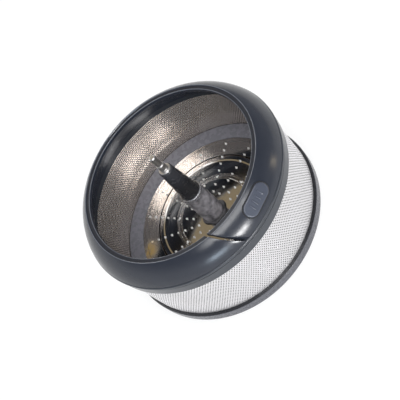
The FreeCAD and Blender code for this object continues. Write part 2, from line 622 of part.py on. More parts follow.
def make_spindle_shaft():
    body = new_body("spindle_shaft")
    revolve(body, [
        (None, "layout.shaft_low"),
        ("sizes.shaft_radius", "layout.shaft_low"),
        ("sizes.shaft_radius", "layout.shoulder_level"),
        ("sizes.tip_radius", "layout.shoulder_level"),
        ("sizes.tip_radius", "layout.tip_edge"),
        ("layout.tip_face", "layout.tip_level"),
        (None, "layout.tip_level"),
    ])
    return body


def make_upper_rim():
    body = new_body("upper_rim")
    revolve(body, [
        ("layout.rim_inner", "layout.rim_low"),
        ("layout.slot_inner", "layout.rim_low"),
        ("layout.slot_inner", "layout.mesh_top"),
        ("layout.slot_outer", "layout.mesh_top"),
        ("layout.slot_outer", "layout.rim_low"),
        ("layout.band_radius", "layout.rim_low"),
        ("layout.band_radius", "layout.band_top"),
        ("layout.groove_radius", "layout.band_top"),
        ("layout.groove_radius", "layout.bead_low"),
        ("layout.bead_corner", "layout.bead_low"),
        ("layout.bead_radius", "layout.bead_side"),
        ("layout.bead_radius", "layout.rim_top"),
        ("layout.rim_inner", "layout.rim_top"),
        ("layout.rim_inner", "layout.snap_high"),
        ("layout.catch_radius", "layout.snap_level"),
        ("layout.rim_inner", "layout.snap_low"),
    ])
    return body


def place_on_pad(sketch):
    shift(sketch, Base_x="layout.pad_x", Base_y="layout.pad_y", Base_z="layout.pad_level",
          Rotation_Yaw="sizes.pad_angle", Rotation_Roll="layout.pad_tilt")


def make_retaining_ring():
    body = new_body("retaining_ring")
    revolve(body, [
        ("layout.skirt_inner", "layout.skirt_low"),
        ("layout.skirt_outer", "layout.skirt_low"),
        ("layout.skirt_outer", "layout.snap_low"),
        ("layout.snap_radius", "layout.snap_level"),
        ("layout.skirt_outer", "layout.snap_high"),
        ("layout.skirt_outer", "layout.rim_top"),
        ("layout.ring_outer", "layout.rim_top", "sizes.dome_radius", 1),
        ("layout.crest_radius", "layout.crest_level"),
        ("layout.edge_radius", "layout.edge_level"),
        ("layout.edge_radius", "layout.edge_under"),
        ("layout.under_inner", "layout.under_level"),
        ("layout.skirt_inner", "layout.skirt_root"),
    ])
    pad = new_sketch(body, "press_pad", "XY_Plane")
    place_on_pad(pad)
    oval(pad, "layout.pad_flat", "layout.pad_half_width")
    raise_from(body, pad, "sizes.pad_depth", downwards=True)
    grip = new_sketch(body, "grip_bar", "XY_Plane")
    place_on_pad(grip)
    rectangle(grip, "-layout.grip_low", "-layout.grip_high", "layout.grip_half")
    bar = raise_from(body, grip, "sizes.grip_rise")
    bars = body.newObject("PartDesign::LinearPattern", "grip_bars")
    bars.Originals = [bar]
    bars.Direction = (grip, ["H_Axis"])
    bars.Mode = "Spacing"
    bars.setExpression("Offset", "sizes.grip_pitch")
    bars.setExpression("Occurrences", "sizes.grip_count")
    body.Tip = bars
    slit = new_sketch(body, "slit", "XY_Plane")
    shift(slit, Base_x="sizes.slit_centre_x", Base_y="-sizes.slit_centre_y", Base_z="layout.slit_low",
          Rotation_Yaw="sizes.slit_turn")
    outline(slit, [
        ("layout.slit_outer_run", "-layout.slit_outer_half", "layout.slit_outer", 1),
        ("layout.slit_outer_run", "layout.slit_outer_half"),
        ("layout.slit_inner_run", "layout.slit_inner_half", "layout.slit_inner", -1),
        ("layout.slit_inner_run", "-layout.slit_inner_half"),
    ])
    body.Tip = cut_from(body, slit, "layout.slit_reach")
    return body


def write_parts(bodies):
    doc.recompute()
    for item in doc.Objects:
        if "Invalid" in item.State or "Error" in item.State:
            raise RuntimeError("%s did not build: %s" % (item.Name, item.State))
    os.makedirs("parts", exist_ok=True)
    for body in bodies:
        if body.Shape.isNull() or not body.Shape.isValid():
            raise RuntimeError("%s has no valid shape" % body.Label)
        print("%s: %d solid, %.1f mm3" % (body.Label, len(body.Shape.Solids), body.Shape.Volume))
    for body in bodies:
        body.Shape.exportStep("parts/%s.step" % body.Label)


write_parts([
    make_base(),
    make_mesh_screen(),
    make_grater_disc(),
    make_hub(),
    make_spindle_sleeve(),
    make_sleeve_washer(),
    make_spindle_shaft(),
    make_upper_rim(),
    make_retaining_ring(),
])
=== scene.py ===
"""Filter basket of a centrifugal juicer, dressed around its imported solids."""

import math

import bmesh
import bpy
from mathutils import Matrix, Vector, geometry


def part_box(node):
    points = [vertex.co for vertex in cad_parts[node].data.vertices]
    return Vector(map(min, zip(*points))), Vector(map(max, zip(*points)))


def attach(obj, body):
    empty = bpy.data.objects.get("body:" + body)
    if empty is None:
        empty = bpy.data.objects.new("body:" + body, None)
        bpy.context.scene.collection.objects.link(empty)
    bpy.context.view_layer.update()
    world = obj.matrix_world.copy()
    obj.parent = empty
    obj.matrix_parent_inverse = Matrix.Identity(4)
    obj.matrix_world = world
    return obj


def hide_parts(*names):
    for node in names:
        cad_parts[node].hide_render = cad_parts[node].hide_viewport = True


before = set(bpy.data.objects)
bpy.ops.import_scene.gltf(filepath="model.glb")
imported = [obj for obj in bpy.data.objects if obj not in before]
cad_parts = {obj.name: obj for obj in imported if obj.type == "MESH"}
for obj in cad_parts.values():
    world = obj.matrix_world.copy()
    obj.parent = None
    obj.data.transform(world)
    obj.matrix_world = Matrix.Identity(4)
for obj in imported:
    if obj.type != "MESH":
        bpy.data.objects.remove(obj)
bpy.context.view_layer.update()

bl_info = {
    "name": "Juicer filter basket",
    "version": (1, 0, 0),
    "blender": (4, 5, 0),
    "location": "View3D > Sidebar > Basket",
    "description": "Builds the pieces of a juicer's filter basket around their solids",
    "category": "Object",
}

MM = 0.001
BODY = "root"
FULL_TURN = 2 * math.pi
QUARTER_TURN = math.pi / 2

# Meshes
CRISP_EDGE = math.radians(38)
ROUND_STEP = math.radians(15)
ROUND_SHARE = 0.45
GUARD_SHARE = 0.15
WELD = 1e-7
RING_SEGMENTS = 256
SPINDLE_SEGMENTS = 96


def top_of(node):
    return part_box(node)[1].z


def foot_of(node):
    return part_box(node)[0].z


def reach_of(node):
    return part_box(node)[1].x


# Places, from the frame where it has them

RIM_TOP = top_of("upper_rim")
RIM_LOW = foot_of("upper_rim")
RIM_REACH = reach_of("upper_rim")
MESH_LOW = foot_of("mesh_screen")
MESH_TOP = top_of("mesh_screen")
MESH_REACH = reach_of("mesh_screen")
BASE_TOP = top_of("base")
BASE_REACH = reach_of("base")
RING_TOP = top_of("retaining_ring")
RING_LOW = foot_of("retaining_ring")
RING_REACH = reach_of("retaining_ring")
SEAT = foot_of("grater_disc")
DISC_REACH = reach_of("grater_disc")

SHEET = 0.5 * MM
SLOT_ROOM = 0.1 * MM
SLOT_OUT = MESH_REACH + SLOT_ROOM
SLOT_IN = MESH_REACH - SHEET - SLOT_ROOM
RIM_INSIDE = SLOT_IN - 0.7 * MM
RIM_BAND = SLOT_OUT + 1.6 * MM
RIM_GROOVE = RIM_BAND - 1.1 * MM
BAND_TOP = RIM_LOW + 7.1 * MM
BEAD_LOW = RIM_LOW + 8.3 * MM
SNAP_LEVEL = (RIM_TOP + RING_LOW) / 2
SNAP_HALF = 0.8 * MM
SNAP_HEIGHT = 0.5 * MM

SKIRT_OUT = RIM_INSIDE - 0.2 * MM
SKIRT_IN = SKIRT_OUT - 1.4 * MM
DOME_FOOT = Vector((RING_REACH, RIM_TOP))
CREST = Vector((RING_REACH - 11.5 * MM, RING_TOP))
STEP = CREST - Vector((0.5 * MM, 1.0 * MM))
SHELF = CREST - Vector((3.0 * MM, 0.7 * MM))
RING_LIP = CREST - Vector((3.4 * MM, 3.6 * MM))
RING_LIP_EDGE = 0.8 * MM
SLIT_CENTRE = Vector((12.0 * MM, -50.4 * MM))

FLANGE_REACH = BASE_REACH + 0.9 * MM
FLANGE_INSIDE = BASE_REACH - 4.5 * MM
FLANGE_TOP = 7.4 * MM
FLANGE_BEVEL = 0.8 * MM
BASE_LIP_TOP = MESH_LOW + 3.6 * MM
SEAT_WALL = DISC_REACH + 0.2 * MM
FLOOR_UNDER = SEAT - 2.6 * MM
BOSS_REACH = 11.5 * MM
BOSS_LOW = 0.6 * MM
BOSS_TOP = 10.9 * MM
SPIGOT_HOLE = 7.6 * MM
SPIGOT_LOW = foot_of("hub")
BORE = 5.5 * MM
HOLES_MIDDLE = (BASE_LIP_TOP + RIM_LOW) / 2 + 0.3 * MM
TEETH_END = DISC_REACH - 6.0 * MM
TEETH_ABOVE = BASE_TOP + 5.0 * MM

HUB_TOP = top_of("hub")
HUB_FOOT = reach_of("hub")
HUB_REACH = 8.4 * MM
DRIVE_TOP = 23.7 * MM
SHAFT_LOW = foot_of("spindle_shaft")
SHAFT_REACH = reach_of("spindle_shaft")
SHAFT_BORE = SHAFT_REACH + 0.1 * MM
COLLAR_REACH = reach_of("spindle_sleeve")
COLLAR_TOP = HUB_TOP + 2.6 * MM
SLEEVE_FOOT = 7.2 * MM
SLEEVE_HEAD = 4.9 * MM
SLEEVE_TOP = top_of("spindle_sleeve")
WASHER_REACH = reach_of("sleeve_washer")
WASHER_TOP = top_of("sleeve_washer")
SHOULDER = WASHER_TOP + 5.5 * MM
TIP_REACH = 2.2 * MM
TIP_TOP = top_of("spindle_shaft")


# Sections: corners as (radius, height, rounding in millimetres)

def arc(centre, radius, start, end, steps):
    """Corners along an arc of a section, with no rounding of their own."""
    angles = (start + (end - start) * step / steps for step in range(steps + 1))
    return [(centre.x + radius * math.cos(angle), centre.y + radius * math.sin(angle), 0)
            for angle in angles]


def rounded(corners, closed=True):
    """Points of a section whose corners are rounded, with a guard point beside each rounding."""
    points = []
    count = len(corners)
    for index, (radius, height, rounding) in enumerate(corners):
        here = Vector((radius, height))
        at_end = not closed and index in (0, count - 1)
        if rounding == 0 or at_end:
            points.append(here)
            continue
        before = Vector(corners[index - 1][:2]) - here
        after = Vector(corners[(index + 1) % count][:2]) - here
        half = before.angle(after) / 2
        room = min(before.length, after.length) * ROUND_SHARE
        cut = min(rounding * MM / math.tan(half), room)
        towards, away = before.normalized(), after.normalized()
        centre = here + (towards + away).normalized() * cut / math.cos(half)
        first = here + towards * cut - centre
        sweep = first.angle_signed(here + away * cut - centre)
        steps = max(2, math.ceil(abs(sweep) / ROUND_STEP))
        guard = cut * (1 + GUARD_SHARE)
        points.append(here + towards * guard)
        for step in range(steps + 1):
            turned = first.copy()
            turned.rotate(Matrix.Rotation(-sweep * step / steps, 2))
            points.append(centre + turned)
        points.append(here + away * guard)
    return points


def new_mesh(name, vertices, faces):
    """Mesh whose coinciding points are merged and whose faces point outwards."""
    mesh = bpy.data.meshes.new(name)
    mesh.from_pydata(vertices, [], faces)
    work = bmesh.new()
    work.from_mesh(mesh)
    bmesh.ops.remove_doubles(work, verts=work.verts, dist=WELD)
    bmesh.ops.dissolve_degenerate(work, edges=work.edges, dist=WELD)
    bmesh.ops.recalc_face_normals(work, faces=work.faces)
    work.to_mesh(mesh)
    work.free()
    return mesh


def bridge(layers, joined=False, loop=True):
    """Faces between layers of points; the last layer may meet the first."""
    count = len(layers[0])
    faces = []
    for layer in range(len(layers) if joined else len(layers) - 1):
        here, there = layer * count, (layer + 1) % len(layers) * count
        for row in range(count if loop else count - 1):
            following = (row + 1) % count
            faces.append((here + row, there + row, there + following, here + following))
    return faces


def around_axis(radius, turn, height):
    return Vector((radius * math.cos(turn), radius * math.sin(turn), height))


def even_turns(count):
    return [FULL_TURN * step / count for step in range(count)]


def flatten(layers):
    return [point for layer in layers for point in layer]


def stack(name, outlines):
    """Closed mesh through outlines that lie above each other."""
    count = len(outlines[0])
    last = count * (len(outlines) - 1)
    caps = [tuple(reversed(range(count))), tuple(range(last, last + count))]
    return new_mesh(name, flatten(outlines), bridge(outlines) + caps)


def lathe(name, section, segments, loop=True):
    """Section turned once round the axis."""
    columns = [[around_axis(point.x, turn, point.y) for point in section]
               for turn in even_turns(segments)]
    return new_mesh(name, flatten(columns), bridge(columns, True, loop))


def soft_box(name, low, high, edge):
    """Box with rounded edges."""
    low, high = Vector(low), Vector(high)
    place = Matrix.Translation((high + low) / 2) @ Matrix.Diagonal((*(high - low), 1.0))
    work = bmesh.new()
    bmesh.ops.create_cube(work, size=1.0, matrix=place)
    bmesh.ops.bevel(work, geom=work.edges[:], offset=edge, segments=3, profile=0.5, affect="EDGES")
    mesh = bpy.data.meshes.new(name)
    work.to_mesh(mesh)
    work.free()
    return mesh


def new_piece(mesh):
    piece = bpy.data.objects.new(mesh.name, mesh)
    bpy.context.scene.collection.objects.link(piece)
    return piece


def settle(piece):
    """Turns a piece with modifiers into a plain mesh."""
    bpy.context.view_layer.update()
    graph = bpy.context.evaluated_depsgraph_get()
    mesh = bpy.data.meshes.new_from_object(piece.evaluated_get(graph))
    piece.modifiers.clear()
    piece.data = mesh
    if not mesh.polygons:
        raise RuntimeError("%s came out empty" % piece.name)


def hand_over(piece, slot, finish, *nodes):
    """Gives a finished piece its shading and material, and ties it to the frame."""
    mesh = piece.data
    mesh.name = piece.name
    mesh.materials.clear()
    mesh.materials.append(finish.material)
    mesh.shade_smooth()
    mesh.set_sharp_from_angle(angle=CRISP_EDGE)
    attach(piece, BODY)
    if nodes:
        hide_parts(*nodes)


# Node trees

class Field:
    """Output in a node tree; numbers among them take part in plain arithmetic."""

    def __init__(self, tree, socket):
        self.tree, self.socket = tree, socket

    def __add__(self, other):
        return calc("ADD", self, other)

    def __sub__(self, other):
        return calc("SUBTRACT", self, other)

    def __rsub__(self, other):
        return calc("SUBTRACT", other, self)

    def __mul__(self, other):
        return calc("MULTIPLY", self, other)

    def __truediv__(self, other):
        return calc("DIVIDE", self, other)

    def __rtruediv__(self, other):
        return calc("DIVIDE", other, self)

    def __mod__(self, other):
        return calc("MODULO", self, other)


def feed(tree, socket, value):
    """Gives a socket a plain value, or links it to a field, an output or a node's first output."""
    if isinstance(value, bpy.types.Node):
        value = value.outputs[0]
    elif isinstance(value, Field):
        value = value.socket
    if isinstance(value, bpy.types.NodeSocket):
        tree.links.new(value, socket)
    else:
        socket.default_value = value


def add_node(tree, kind, inputs=(), **settings):
    """Adds a node; inputs pairs a socket's name or number with what feeds it."""
    node = tree.nodes.new(kind)
    for setting, value in settings.items():
        setattr(node, setting, value)
    for key, value in dict(inputs).items():
        feed(tree, node.inputs[key], value)
    return node


def calc(operation, *values):
    """Math node on numbers, of which at least one is a field."""
    tree = next(value.tree for value in values if isinstance(value, Field))
    inputs = dict(enumerate(values))
    return Field(tree, add_node(tree, "ShaderNodeMath", inputs, operation=operation).outputs[0])


def vector(tree, x=0.0, y=0.0, z=0.0):
    return add_node(tree, "ShaderNodeCombineXYZ", {"X": x, "Y": y, "Z": z})


def polar_vector(tree, radius, angle, z):
    return vector(tree, radius * calc("COSINE", angle), radius * calc("SINE", angle), z)


def split(tree, place):
    """The three parts of a vector."""
    return [Field(tree, part) for part in add_node(tree, "ShaderNodeSeparateXYZ", {0: place}).outputs]


def measure(tree, operation, *vectors):
    """Number worked out from vectors."""
    node = add_node(tree, "ShaderNodeVectorMath", dict(enumerate(vectors)), operation=operation)
    return Field(tree, node.outputs["Value"])


def off_axis(tree, place):
    """Distance from the axis."""
    x, y, _ = split(tree, place)
    return measure(tree, "LENGTH", vector(tree, x, y))


def between(value, low, high):
    """1 where a field lies between two numbers."""
    return calc("GREATER_THAN", value, low) * calc("LESS_THAN", value, high)


def spread(value, low, high, start=0.3, end=0.7):
    """Maps a part of a field's range onto another range."""
    node = add_node(value.tree, "ShaderNodeMapRange", {
        "Value": value, "From Min": start, "From Max": end, "To Min": low, "To Max": high})
    return Field(value.tree, node.outputs[0])


def blend(share, first, second):
    """Mixes two colours, each given as numbers or as a field."""
    colours = [value if isinstance(value, Field) else (*value, 1.0) for value in (first, second)]
    node = add_node(share.tree, "ShaderNodeMix", {0: share, 6: colours[0], 7: colours[1]},
                    data_type="RGBA")
    return Field(share.tree, node.outputs[2])


def new_geometry_tree(name, counts, sizes=(), objects=()):
    """Geometry tree with named inputs and a material; returns the tree and its inputs by name."""
    tree = bpy.data.node_groups.new(name, "GeometryNodeTree")
    sockets = (("Geometry", ["Geometry"]), ("Object", objects), ("Int", counts), ("Float", sizes),
               ("Material", ["Material"]))
    for kind, labels in sockets:
        for label in labels:
            tree.interface.new_socket(label, in_out="INPUT", socket_type="NodeSocket" + kind)
    tree.interface.new_socket("Geometry", in_out="OUTPUT", socket_type="NodeSocketGeometry")
    group = tree.nodes.new("NodeGroupInput")
    return tree, {socket.name: Field(tree, socket) for socket in group.outputs if socket.name}


def end_tree(tree, given, result):
    """Ends a tree in Realize Instances and Set Material."""
    realized = add_node(tree, "GeometryNodeRealizeInstances", {"Geometry": result})
    painted = add_node(tree, "GeometryNodeSetMaterial", {
        "Geometry": realized, "Material": given["Material"]})
    add_node(tree, "NodeGroupOutput", {0: painted})
    return tree


def run_tree(piece, tree, values):
    """Runs a geometry tree on a piece with inputs by name, and keeps the result as a plain mesh."""
    modifier = piece.modifiers.new(tree.name, "NODES")
    modifier.node_group = tree
    for item in tree.interface.items_tree:
        if item.in_out == "INPUT" and item.name in values:
            modifier[item.identifier] = values[item.name]
    settle(piece)


def numbers_of(tree):
    """Each point's own number."""
    return Field(tree, tree.nodes.new("GeometryNodeInputIndex").outputs[0])


def join(tree, *parts):
    node = tree.nodes.new("GeometryNodeJoinGeometry")
    for part in parts:
        feed(tree, node.inputs[0], part)
    return node


def add_copies(tree, count, piece, position=(0.0, 0.0, 0.0), rotation=(0.0, 0.0, 0.0)):
    points = add_node(tree, "GeometryNodePoints", {"Count": count, "Position": position})
    return add_node(tree, "GeometryNodeInstanceOnPoints", {
        "Points": points, "Instance": piece, "Rotation": rotation})


def weld(tree, mesh, distance):
    return add_node(tree, "GeometryNodeMergeByDistance", {"Geometry": mesh, "Distance": distance})


def polar_tree():
    """Repeats the incoming piece round the axis."""
    tree, given = new_geometry_tree("repeat_round", ["Count"])
    turn = vector(tree, z=numbers_of(tree) * (FULL_TURN / given["Count"]))
    return end_tree(tree, given, add_copies(tree, given["Count"], given["Geometry"], rotation=turn))


def line_tree():
    """Repeats the incoming piece along X, about the middle of the line."""
    tree, given = new_geometry_tree("repeat_in_line", ["Count"], ["Pitch"])
    along = (numbers_of(tree) - (given["Count"] - 1.0) / 2.0) * given["Pitch"]
    line = add_copies(tree, given["Count"], given["Geometry"], vector(tree, along))
    return end_tree(tree, given, line)


def tooth_tree():
    """Sets teeth on the incoming disc in straight rows beside the axis, every second one further out."""
    tree, given = new_geometry_tree(
        "tooth_rows", ["Rows", "Teeth"], ["Start", "Pitch", "End", "Turn", "Aside", "Above"], ["Tooth"])
    number, rows, teeth = numbers_of(tree), given["Rows"], given["Teeth"]
    row = calc("FLOOR", number / teeth)
    steps = number % teeth + row % 2.0 * 0.5
    radius = steps * given["Pitch"] + given["Start"]
    lean = calc("ARCSINE", given["Aside"] / radius)
    angle = row * (FULL_TURN / rows) + given["Turn"] + lean
    above = polar_vector(tree, radius, angle, given["Above"])
    points = add_node(tree, "GeometryNodePoints", {"Count": rows * teeth, "Position": above})
    down = add_node(tree, "GeometryNodeRaycast", {
        "Target Geometry": given["Geometry"], "Ray Direction": (0.0, 0.0, -1.0)}, data_type="FLOAT")
    seated = add_node(tree, "GeometryNodeSetPosition", {
        "Geometry": points, "Position": down.outputs["Hit Position"]})
    inside = add_node(tree, "FunctionNodeCompare", {0: radius, 1: given["End"]}, operation="LESS_THAN")
    tooth = add_node(tree, "GeometryNodeObjectInfo", {"Object": given["Tooth"]})
    marked = add_node(tree, "GeometryNodeStoreNamedAttribute", {
        "Geometry": tooth.outputs["Geometry"], "Name": "tooth", "Value": 1.0},
        data_type="FLOAT", domain="POINT")
    rough = add_node(tree, "GeometryNodeInstanceOnPoints", {
        "Points": seated, "Selection": inside, "Instance": marked, "Rotation": vector(tree, z=angle)})
    return end_tree(tree, given, join(tree, rough, given["Geometry"]))


# The perforated sheet
HOLE_CORNERS = 6
HOLE_MARGIN = 1.05
CELL_WELD = 0.02 * MM
ROLL_WELD = 0.01 * MM
BORDER_ROOM = 0.05 * MM
END_ROOM = 0.00004


def sheet_tree():
    """Perforated sheet: cells with a tapered hole each, in staggered rows, rolled into a drum."""
    tree, given = new_geometry_tree(
        "perforated_sheet", ["Columns", "Rows"],
        ["Row Pitch", "Hole", "Inner Hole", "Inside", "Wall", "Low", "High", "Middle"])
    columns, rows, rise = (given[name] for name in ("Columns", "Rows", "Row Pitch"))
    wall, inside, hole, middle = (given[name] for name in ("Wall", "Inside", "Hole", "Middle"))
    pitch = inside * FULL_TURN / columns
    lean = pitch / 2.0
    half_rows = (rows - 1.0) / 2.0
    half_height = rows * rise / 2.0
    position = tree.nodes.new("GeometryNodeInputPosition").outputs[0]
    along, height, depth = split(tree, position)

    # One slanting cell, whose corners on the hole keep their direction from its middle
    outline = add_node(tree, "GeometryNodeCurvePrimitiveQuadrilateral", {
        "Height": rise, "Width": pitch, "Offset": lean}, mode="PARALLELOGRAM")
    ring = add_node(tree, "GeometryNodeCurvePrimitiveCircle", {
        "Resolution": HOLE_CORNERS, "Radius": hole})
    cell = add_node(tree, "GeometryNodeFillCurve", {
        "Curve": join(tree, ring, outline)}, mode="TRIANGLES")
    on_hole = calc("LESS_THAN", measure(tree, "LENGTH", position), hole * HOLE_MARGIN)
    marked = add_node(tree, "GeometryNodeStoreNamedAttribute", {
        "Geometry": cell, "Selection": on_hole, "Name": "spoke", "Value": position},
        data_type="FLOAT_VECTOR", domain="POINT")

    # The flat sheet
    number = numbers_of(tree)
    row = calc("FLOOR", number / columns)
    across = number % columns * pitch + row * lean
    spots = vector(tree, across, (row - half_rows) * rise + middle)
    cells = add_copies(tree, rows * columns, marked, spots)
    realized = add_node(tree, "GeometryNodeRealizeInstances", {"Geometry": cells})
    flat = weld(tree, realized, CELL_WELD)

    # Plain margins above and below the holes
    for side, limit in ((1.0, given["High"]), (-1.0, given["Low"])):
        border = half_height * side + middle
        near = calc("GREATER_THAN", (height - border) * side, -BORDER_ROOM)
        flat = add_node(tree, "GeometryNodeExtrudeMesh", {
            "Mesh": flat, "Selection": near, "Offset": vector(tree, y=limit - border),
            "Offset Scale": 1.0}, mode="EDGES")

    # A second side and the walls between
    turned = add_node(tree, "GeometryNodeFlipFaces", {"Mesh": flat})
    inner = add_node(tree, "GeometryNodeExtrudeMesh", {
        "Mesh": turned, "Offset": vector(tree, z=wall * -1.0), "Offset Scale": 1.0,
        "Individual": False}, mode="FACES")

    # The walls at the two slanting ends go, where the rolled sheet meets itself
    level = calc("MAXIMUM", height - middle, half_height * -1.0)
    slant = (half_rows * rise + calc("MINIMUM", level, half_height)) / rise
    turns = (along + lean * (1.0 - slant)) / (pitch * columns)
    off_turn = calc("ABSOLUTE", turns - calc("ROUND", turns))
    open_ends = add_node(tree, "GeometryNodeDeleteGeometry", {
        "Geometry": join(tree, inner, flat), "Selection": calc("LESS_THAN", off_turn, END_ROOM)},
        domain="FACE")
    solid = weld(tree, open_ends, ROLL_WELD)

    # The holes of the second side get their own size
    spokes = add_node(tree, "GeometryNodeInputNamedAttribute", {
        "Name": "spoke"}, data_type="FLOAT_VECTOR")
    growth = add_node(tree, "ShaderNodeVectorMath", {
        0: spokes.outputs["Attribute"], "Scale": given["Inner Hole"] / hole - 1.0}, operation="SCALE")
    flared = add_node(tree, "GeometryNodeSetPosition", {
        "Geometry": solid, "Selection": calc("LESS_THAN", depth, wall * -0.5), "Offset": growth})

    rolled = polar_vector(tree, inside + wall + depth, along / inside, height)
    drum = add_node(tree, "GeometryNodeSetPosition", {"Geometry": flared, "Position": rolled})
    return end_tree(tree, given, weld(tree, drum, ROLL_WELD))


# Finishes

FADE_END = 0.01 * MM
GRAIN_DEPTH = 0.01 * MM
GRAIN_STRENGTH = 0.08
CLOUD_SCALE = 45.0
SCUFF_SCALE = 320.0
# Painted reflection patch on the disc: noise scale, core share and metallic at its core
REFLECTION_PATCH_SCALE = 220.0
REFLECTION_PATCH_CORE = 0.4
REFLECTION_PATCH_METALLIC = 0.3
RINGS_SCALE = 1500.0
RINGS_STRETCH = 0.3
STAIN_SCALE = 60.0
SMEAR_SCALE = 38.0
# Teeth: less metallic and rougher, along with their painted glint colour
TOOTH_METALLIC = 0.25
TOOTH_ROUGHER = 0.28


class Finish:
    """Procedural material on object coordinates, built up layer by layer."""

    def __init__(self, name, colour, metallic, roughness):
        self.material = bpy.data.materials.new(name)
        self.material.use_nodes = True
        self.material.diffuse_color = (*colour, 1.0)
        self.tree = self.material.node_tree
        self.surface = self.tree.nodes["Principled BSDF"]
        self.place = self.tree.nodes.new("ShaderNodeTexCoord").outputs["Object"]
        self.put("Base Color", (*colour, 1.0))
        self.put("Metallic", metallic)
        self.put("Roughness", roughness)

    def put(self, key, value):
        feed(self.tree, self.surface.inputs[key], value)

    def present(self, key):
        """What feeds a socket of the surface so far."""
        return Field(self.tree, self.surface.inputs[key].links[0].from_socket)

    def noise(self, scale, detail=3.0, place=None):
        node = add_node(self.tree, "ShaderNodeTexNoise", {
            "Vector": self.place if place is None else place, "Scale": scale, "Detail": detail})
        return Field(self.tree, node.outputs[0])

    def paint_zone(self, colour, low=-1.0, high=1.0, inner=0.0, outer=1.0, fade=0.0, metallic=None):
        """Colours what lies between two heights and two distances from the axis.

        The colour fades in below the upper height.
        """
        height, out = split(self.tree, self.place)[2], off_axis(self.tree, self.place)
        below = spread(height, 1.0, 0.0, high - fade, high + FADE_END)
        zone = calc("GREATER_THAN", height, low) * below * between(out, inner, outer)
        self.put("Base Color", blend(zone, self.present("Base Color"), colour))
        if metallic:
            self.put("Metallic", zone * metallic)

    def paint_reflection_patch(self, colour, spot, reach):
        """Painted reflection: a warm patch that fades out round a point and covers the metal under it.
        """
        away = measure(self.tree, "DISTANCE", self.place, spot)
        patches = spread(self.noise(REFLECTION_PATCH_SCALE), 0.35, 1.0)
        reflection_patch = spread(away, 1.0, 0.0, reach * REFLECTION_PATCH_CORE, reach) * patches
        self.put("Base Color", blend(reflection_patch, self.present("Base Color"), colour))
        bare = spread(reflection_patch, 1.0, REFLECTION_PATCH_METALLIC, 0.0, 1.0)
        self.put("Metallic", self.present("Metallic") * bare)


def moulded_plastic(name, colour, worn, roughness, grain, cloud=CLOUD_SCALE):
    """Moulded plastic with a faint grain, cloudy colour and light scuffs in its gloss."""
    finish = Finish(name, colour, 0.0, roughness)
    finish.put("Base Color", blend(spread(finish.noise(cloud), 0.0, 1.0), colour, worn))
    scuff = finish.noise(SCUFF_SCALE, detail=5.0)
    finish.put("Roughness", spread(scuff, roughness - 0.02, roughness + 0.05))
    finish.put("Normal", add_node(finish.tree, "ShaderNodeBump", {
        "Height": finish.noise(grain, detail=2.0), "Distance": GRAIN_DEPTH,
        "Strength": GRAIN_STRENGTH}))
    return finish


def turned_steel(name, colour, stain, roughness):
    """Polished steel: fine turned rings about the axis and cloudy smears."""
    finish = Finish(name, colour, 1.0, roughness)
    tree, place = finish.tree, finish.place
    along_rings = vector(tree, off_axis(tree, place), split(tree, place)[2] * RINGS_STRETCH)
    rings = finish.noise(RINGS_SCALE, detail=4.0, place=along_rings)
    smear = finish.noise(STAIN_SCALE, detail=4.0)
    finish.put("Base Color", blend(spread(smear, 0.0, 0.5, 0.45, 0.75), colour, stain))
    cloudy = spread(smear, roughness - 0.02, roughness + 0.03)
    finish.put("Roughness", cloudy + spread(rings, -0.02, 0.03))
    return finish


def toothed_steel(name, colour, stain, glint_colour, roughness):
    """Polished sheet steel with torn teeth, which are painted near-white and less metallic as painted
    glints.
    """
    finish = turned_steel(name, colour, stain, roughness)
    attribute = add_node(finish.tree, "ShaderNodeAttribute", attribute_name="tooth")
    tooth = Field(finish.tree, attribute.outputs["Fac"])
    finish.put("Base Color", blend(tooth, finish.present("Base Color"), glint_colour))
    finish.put("Roughness", tooth * TOOTH_ROUGHER + finish.present("Roughness"))
    finish.put("Metallic", tooth * (TOOTH_METALLIC - 1.0) + 1.0)
    return finish


def screen_steel(name, colour, smear_colour, shade, low, high, roughness, metallic):
    """Perforated sheet with faint smears; between two radii the walls of the holes are painted
    near-black, painted shade for the inside of a hole.
    """
    finish = Finish(name, colour, metallic, roughness)
    out = off_axis(finish.tree, finish.place)
    smear = finish.noise(SMEAR_SCALE, detail=4.0)
    face = blend(spread(smear, 0.0, 1.0), colour, smear_colour)
    # Painted shade: the hole walls, between the two radii, take the hole colour
    finish.put("Base Color", blend(between(out, low, high), face, shade))
    finish.put("Roughness", spread(smear, roughness - 0.03, roughness + 0.06))
    return finish


# Settings

def length(name, description, default):
    return bpy.props.FloatProperty(
        name=name, description=description, default=default, min=0.0,
        unit="LENGTH", subtype="DISTANCE", precision=4)


def angle(name, description, degrees):
    return bpy.props.FloatProperty(
        name=name, description=description, default=math.radians(degrees),
        unit="ROTATION", subtype="ANGLE")


def colour(name, description, default):
    return bpy.props.FloatVectorProperty(
        name=name, description=description, default=default, size=3, min=0.0, max=1.0,
        subtype="COLOR")


def share(name, description, default):
    return bpy.props.FloatProperty(
        name=name, description=description, default=default, min=0.0, max=1.0, subtype="FACTOR")


def count(name, description, default):
    return bpy.props.IntProperty(name=name, description=description, default=default, min=1)


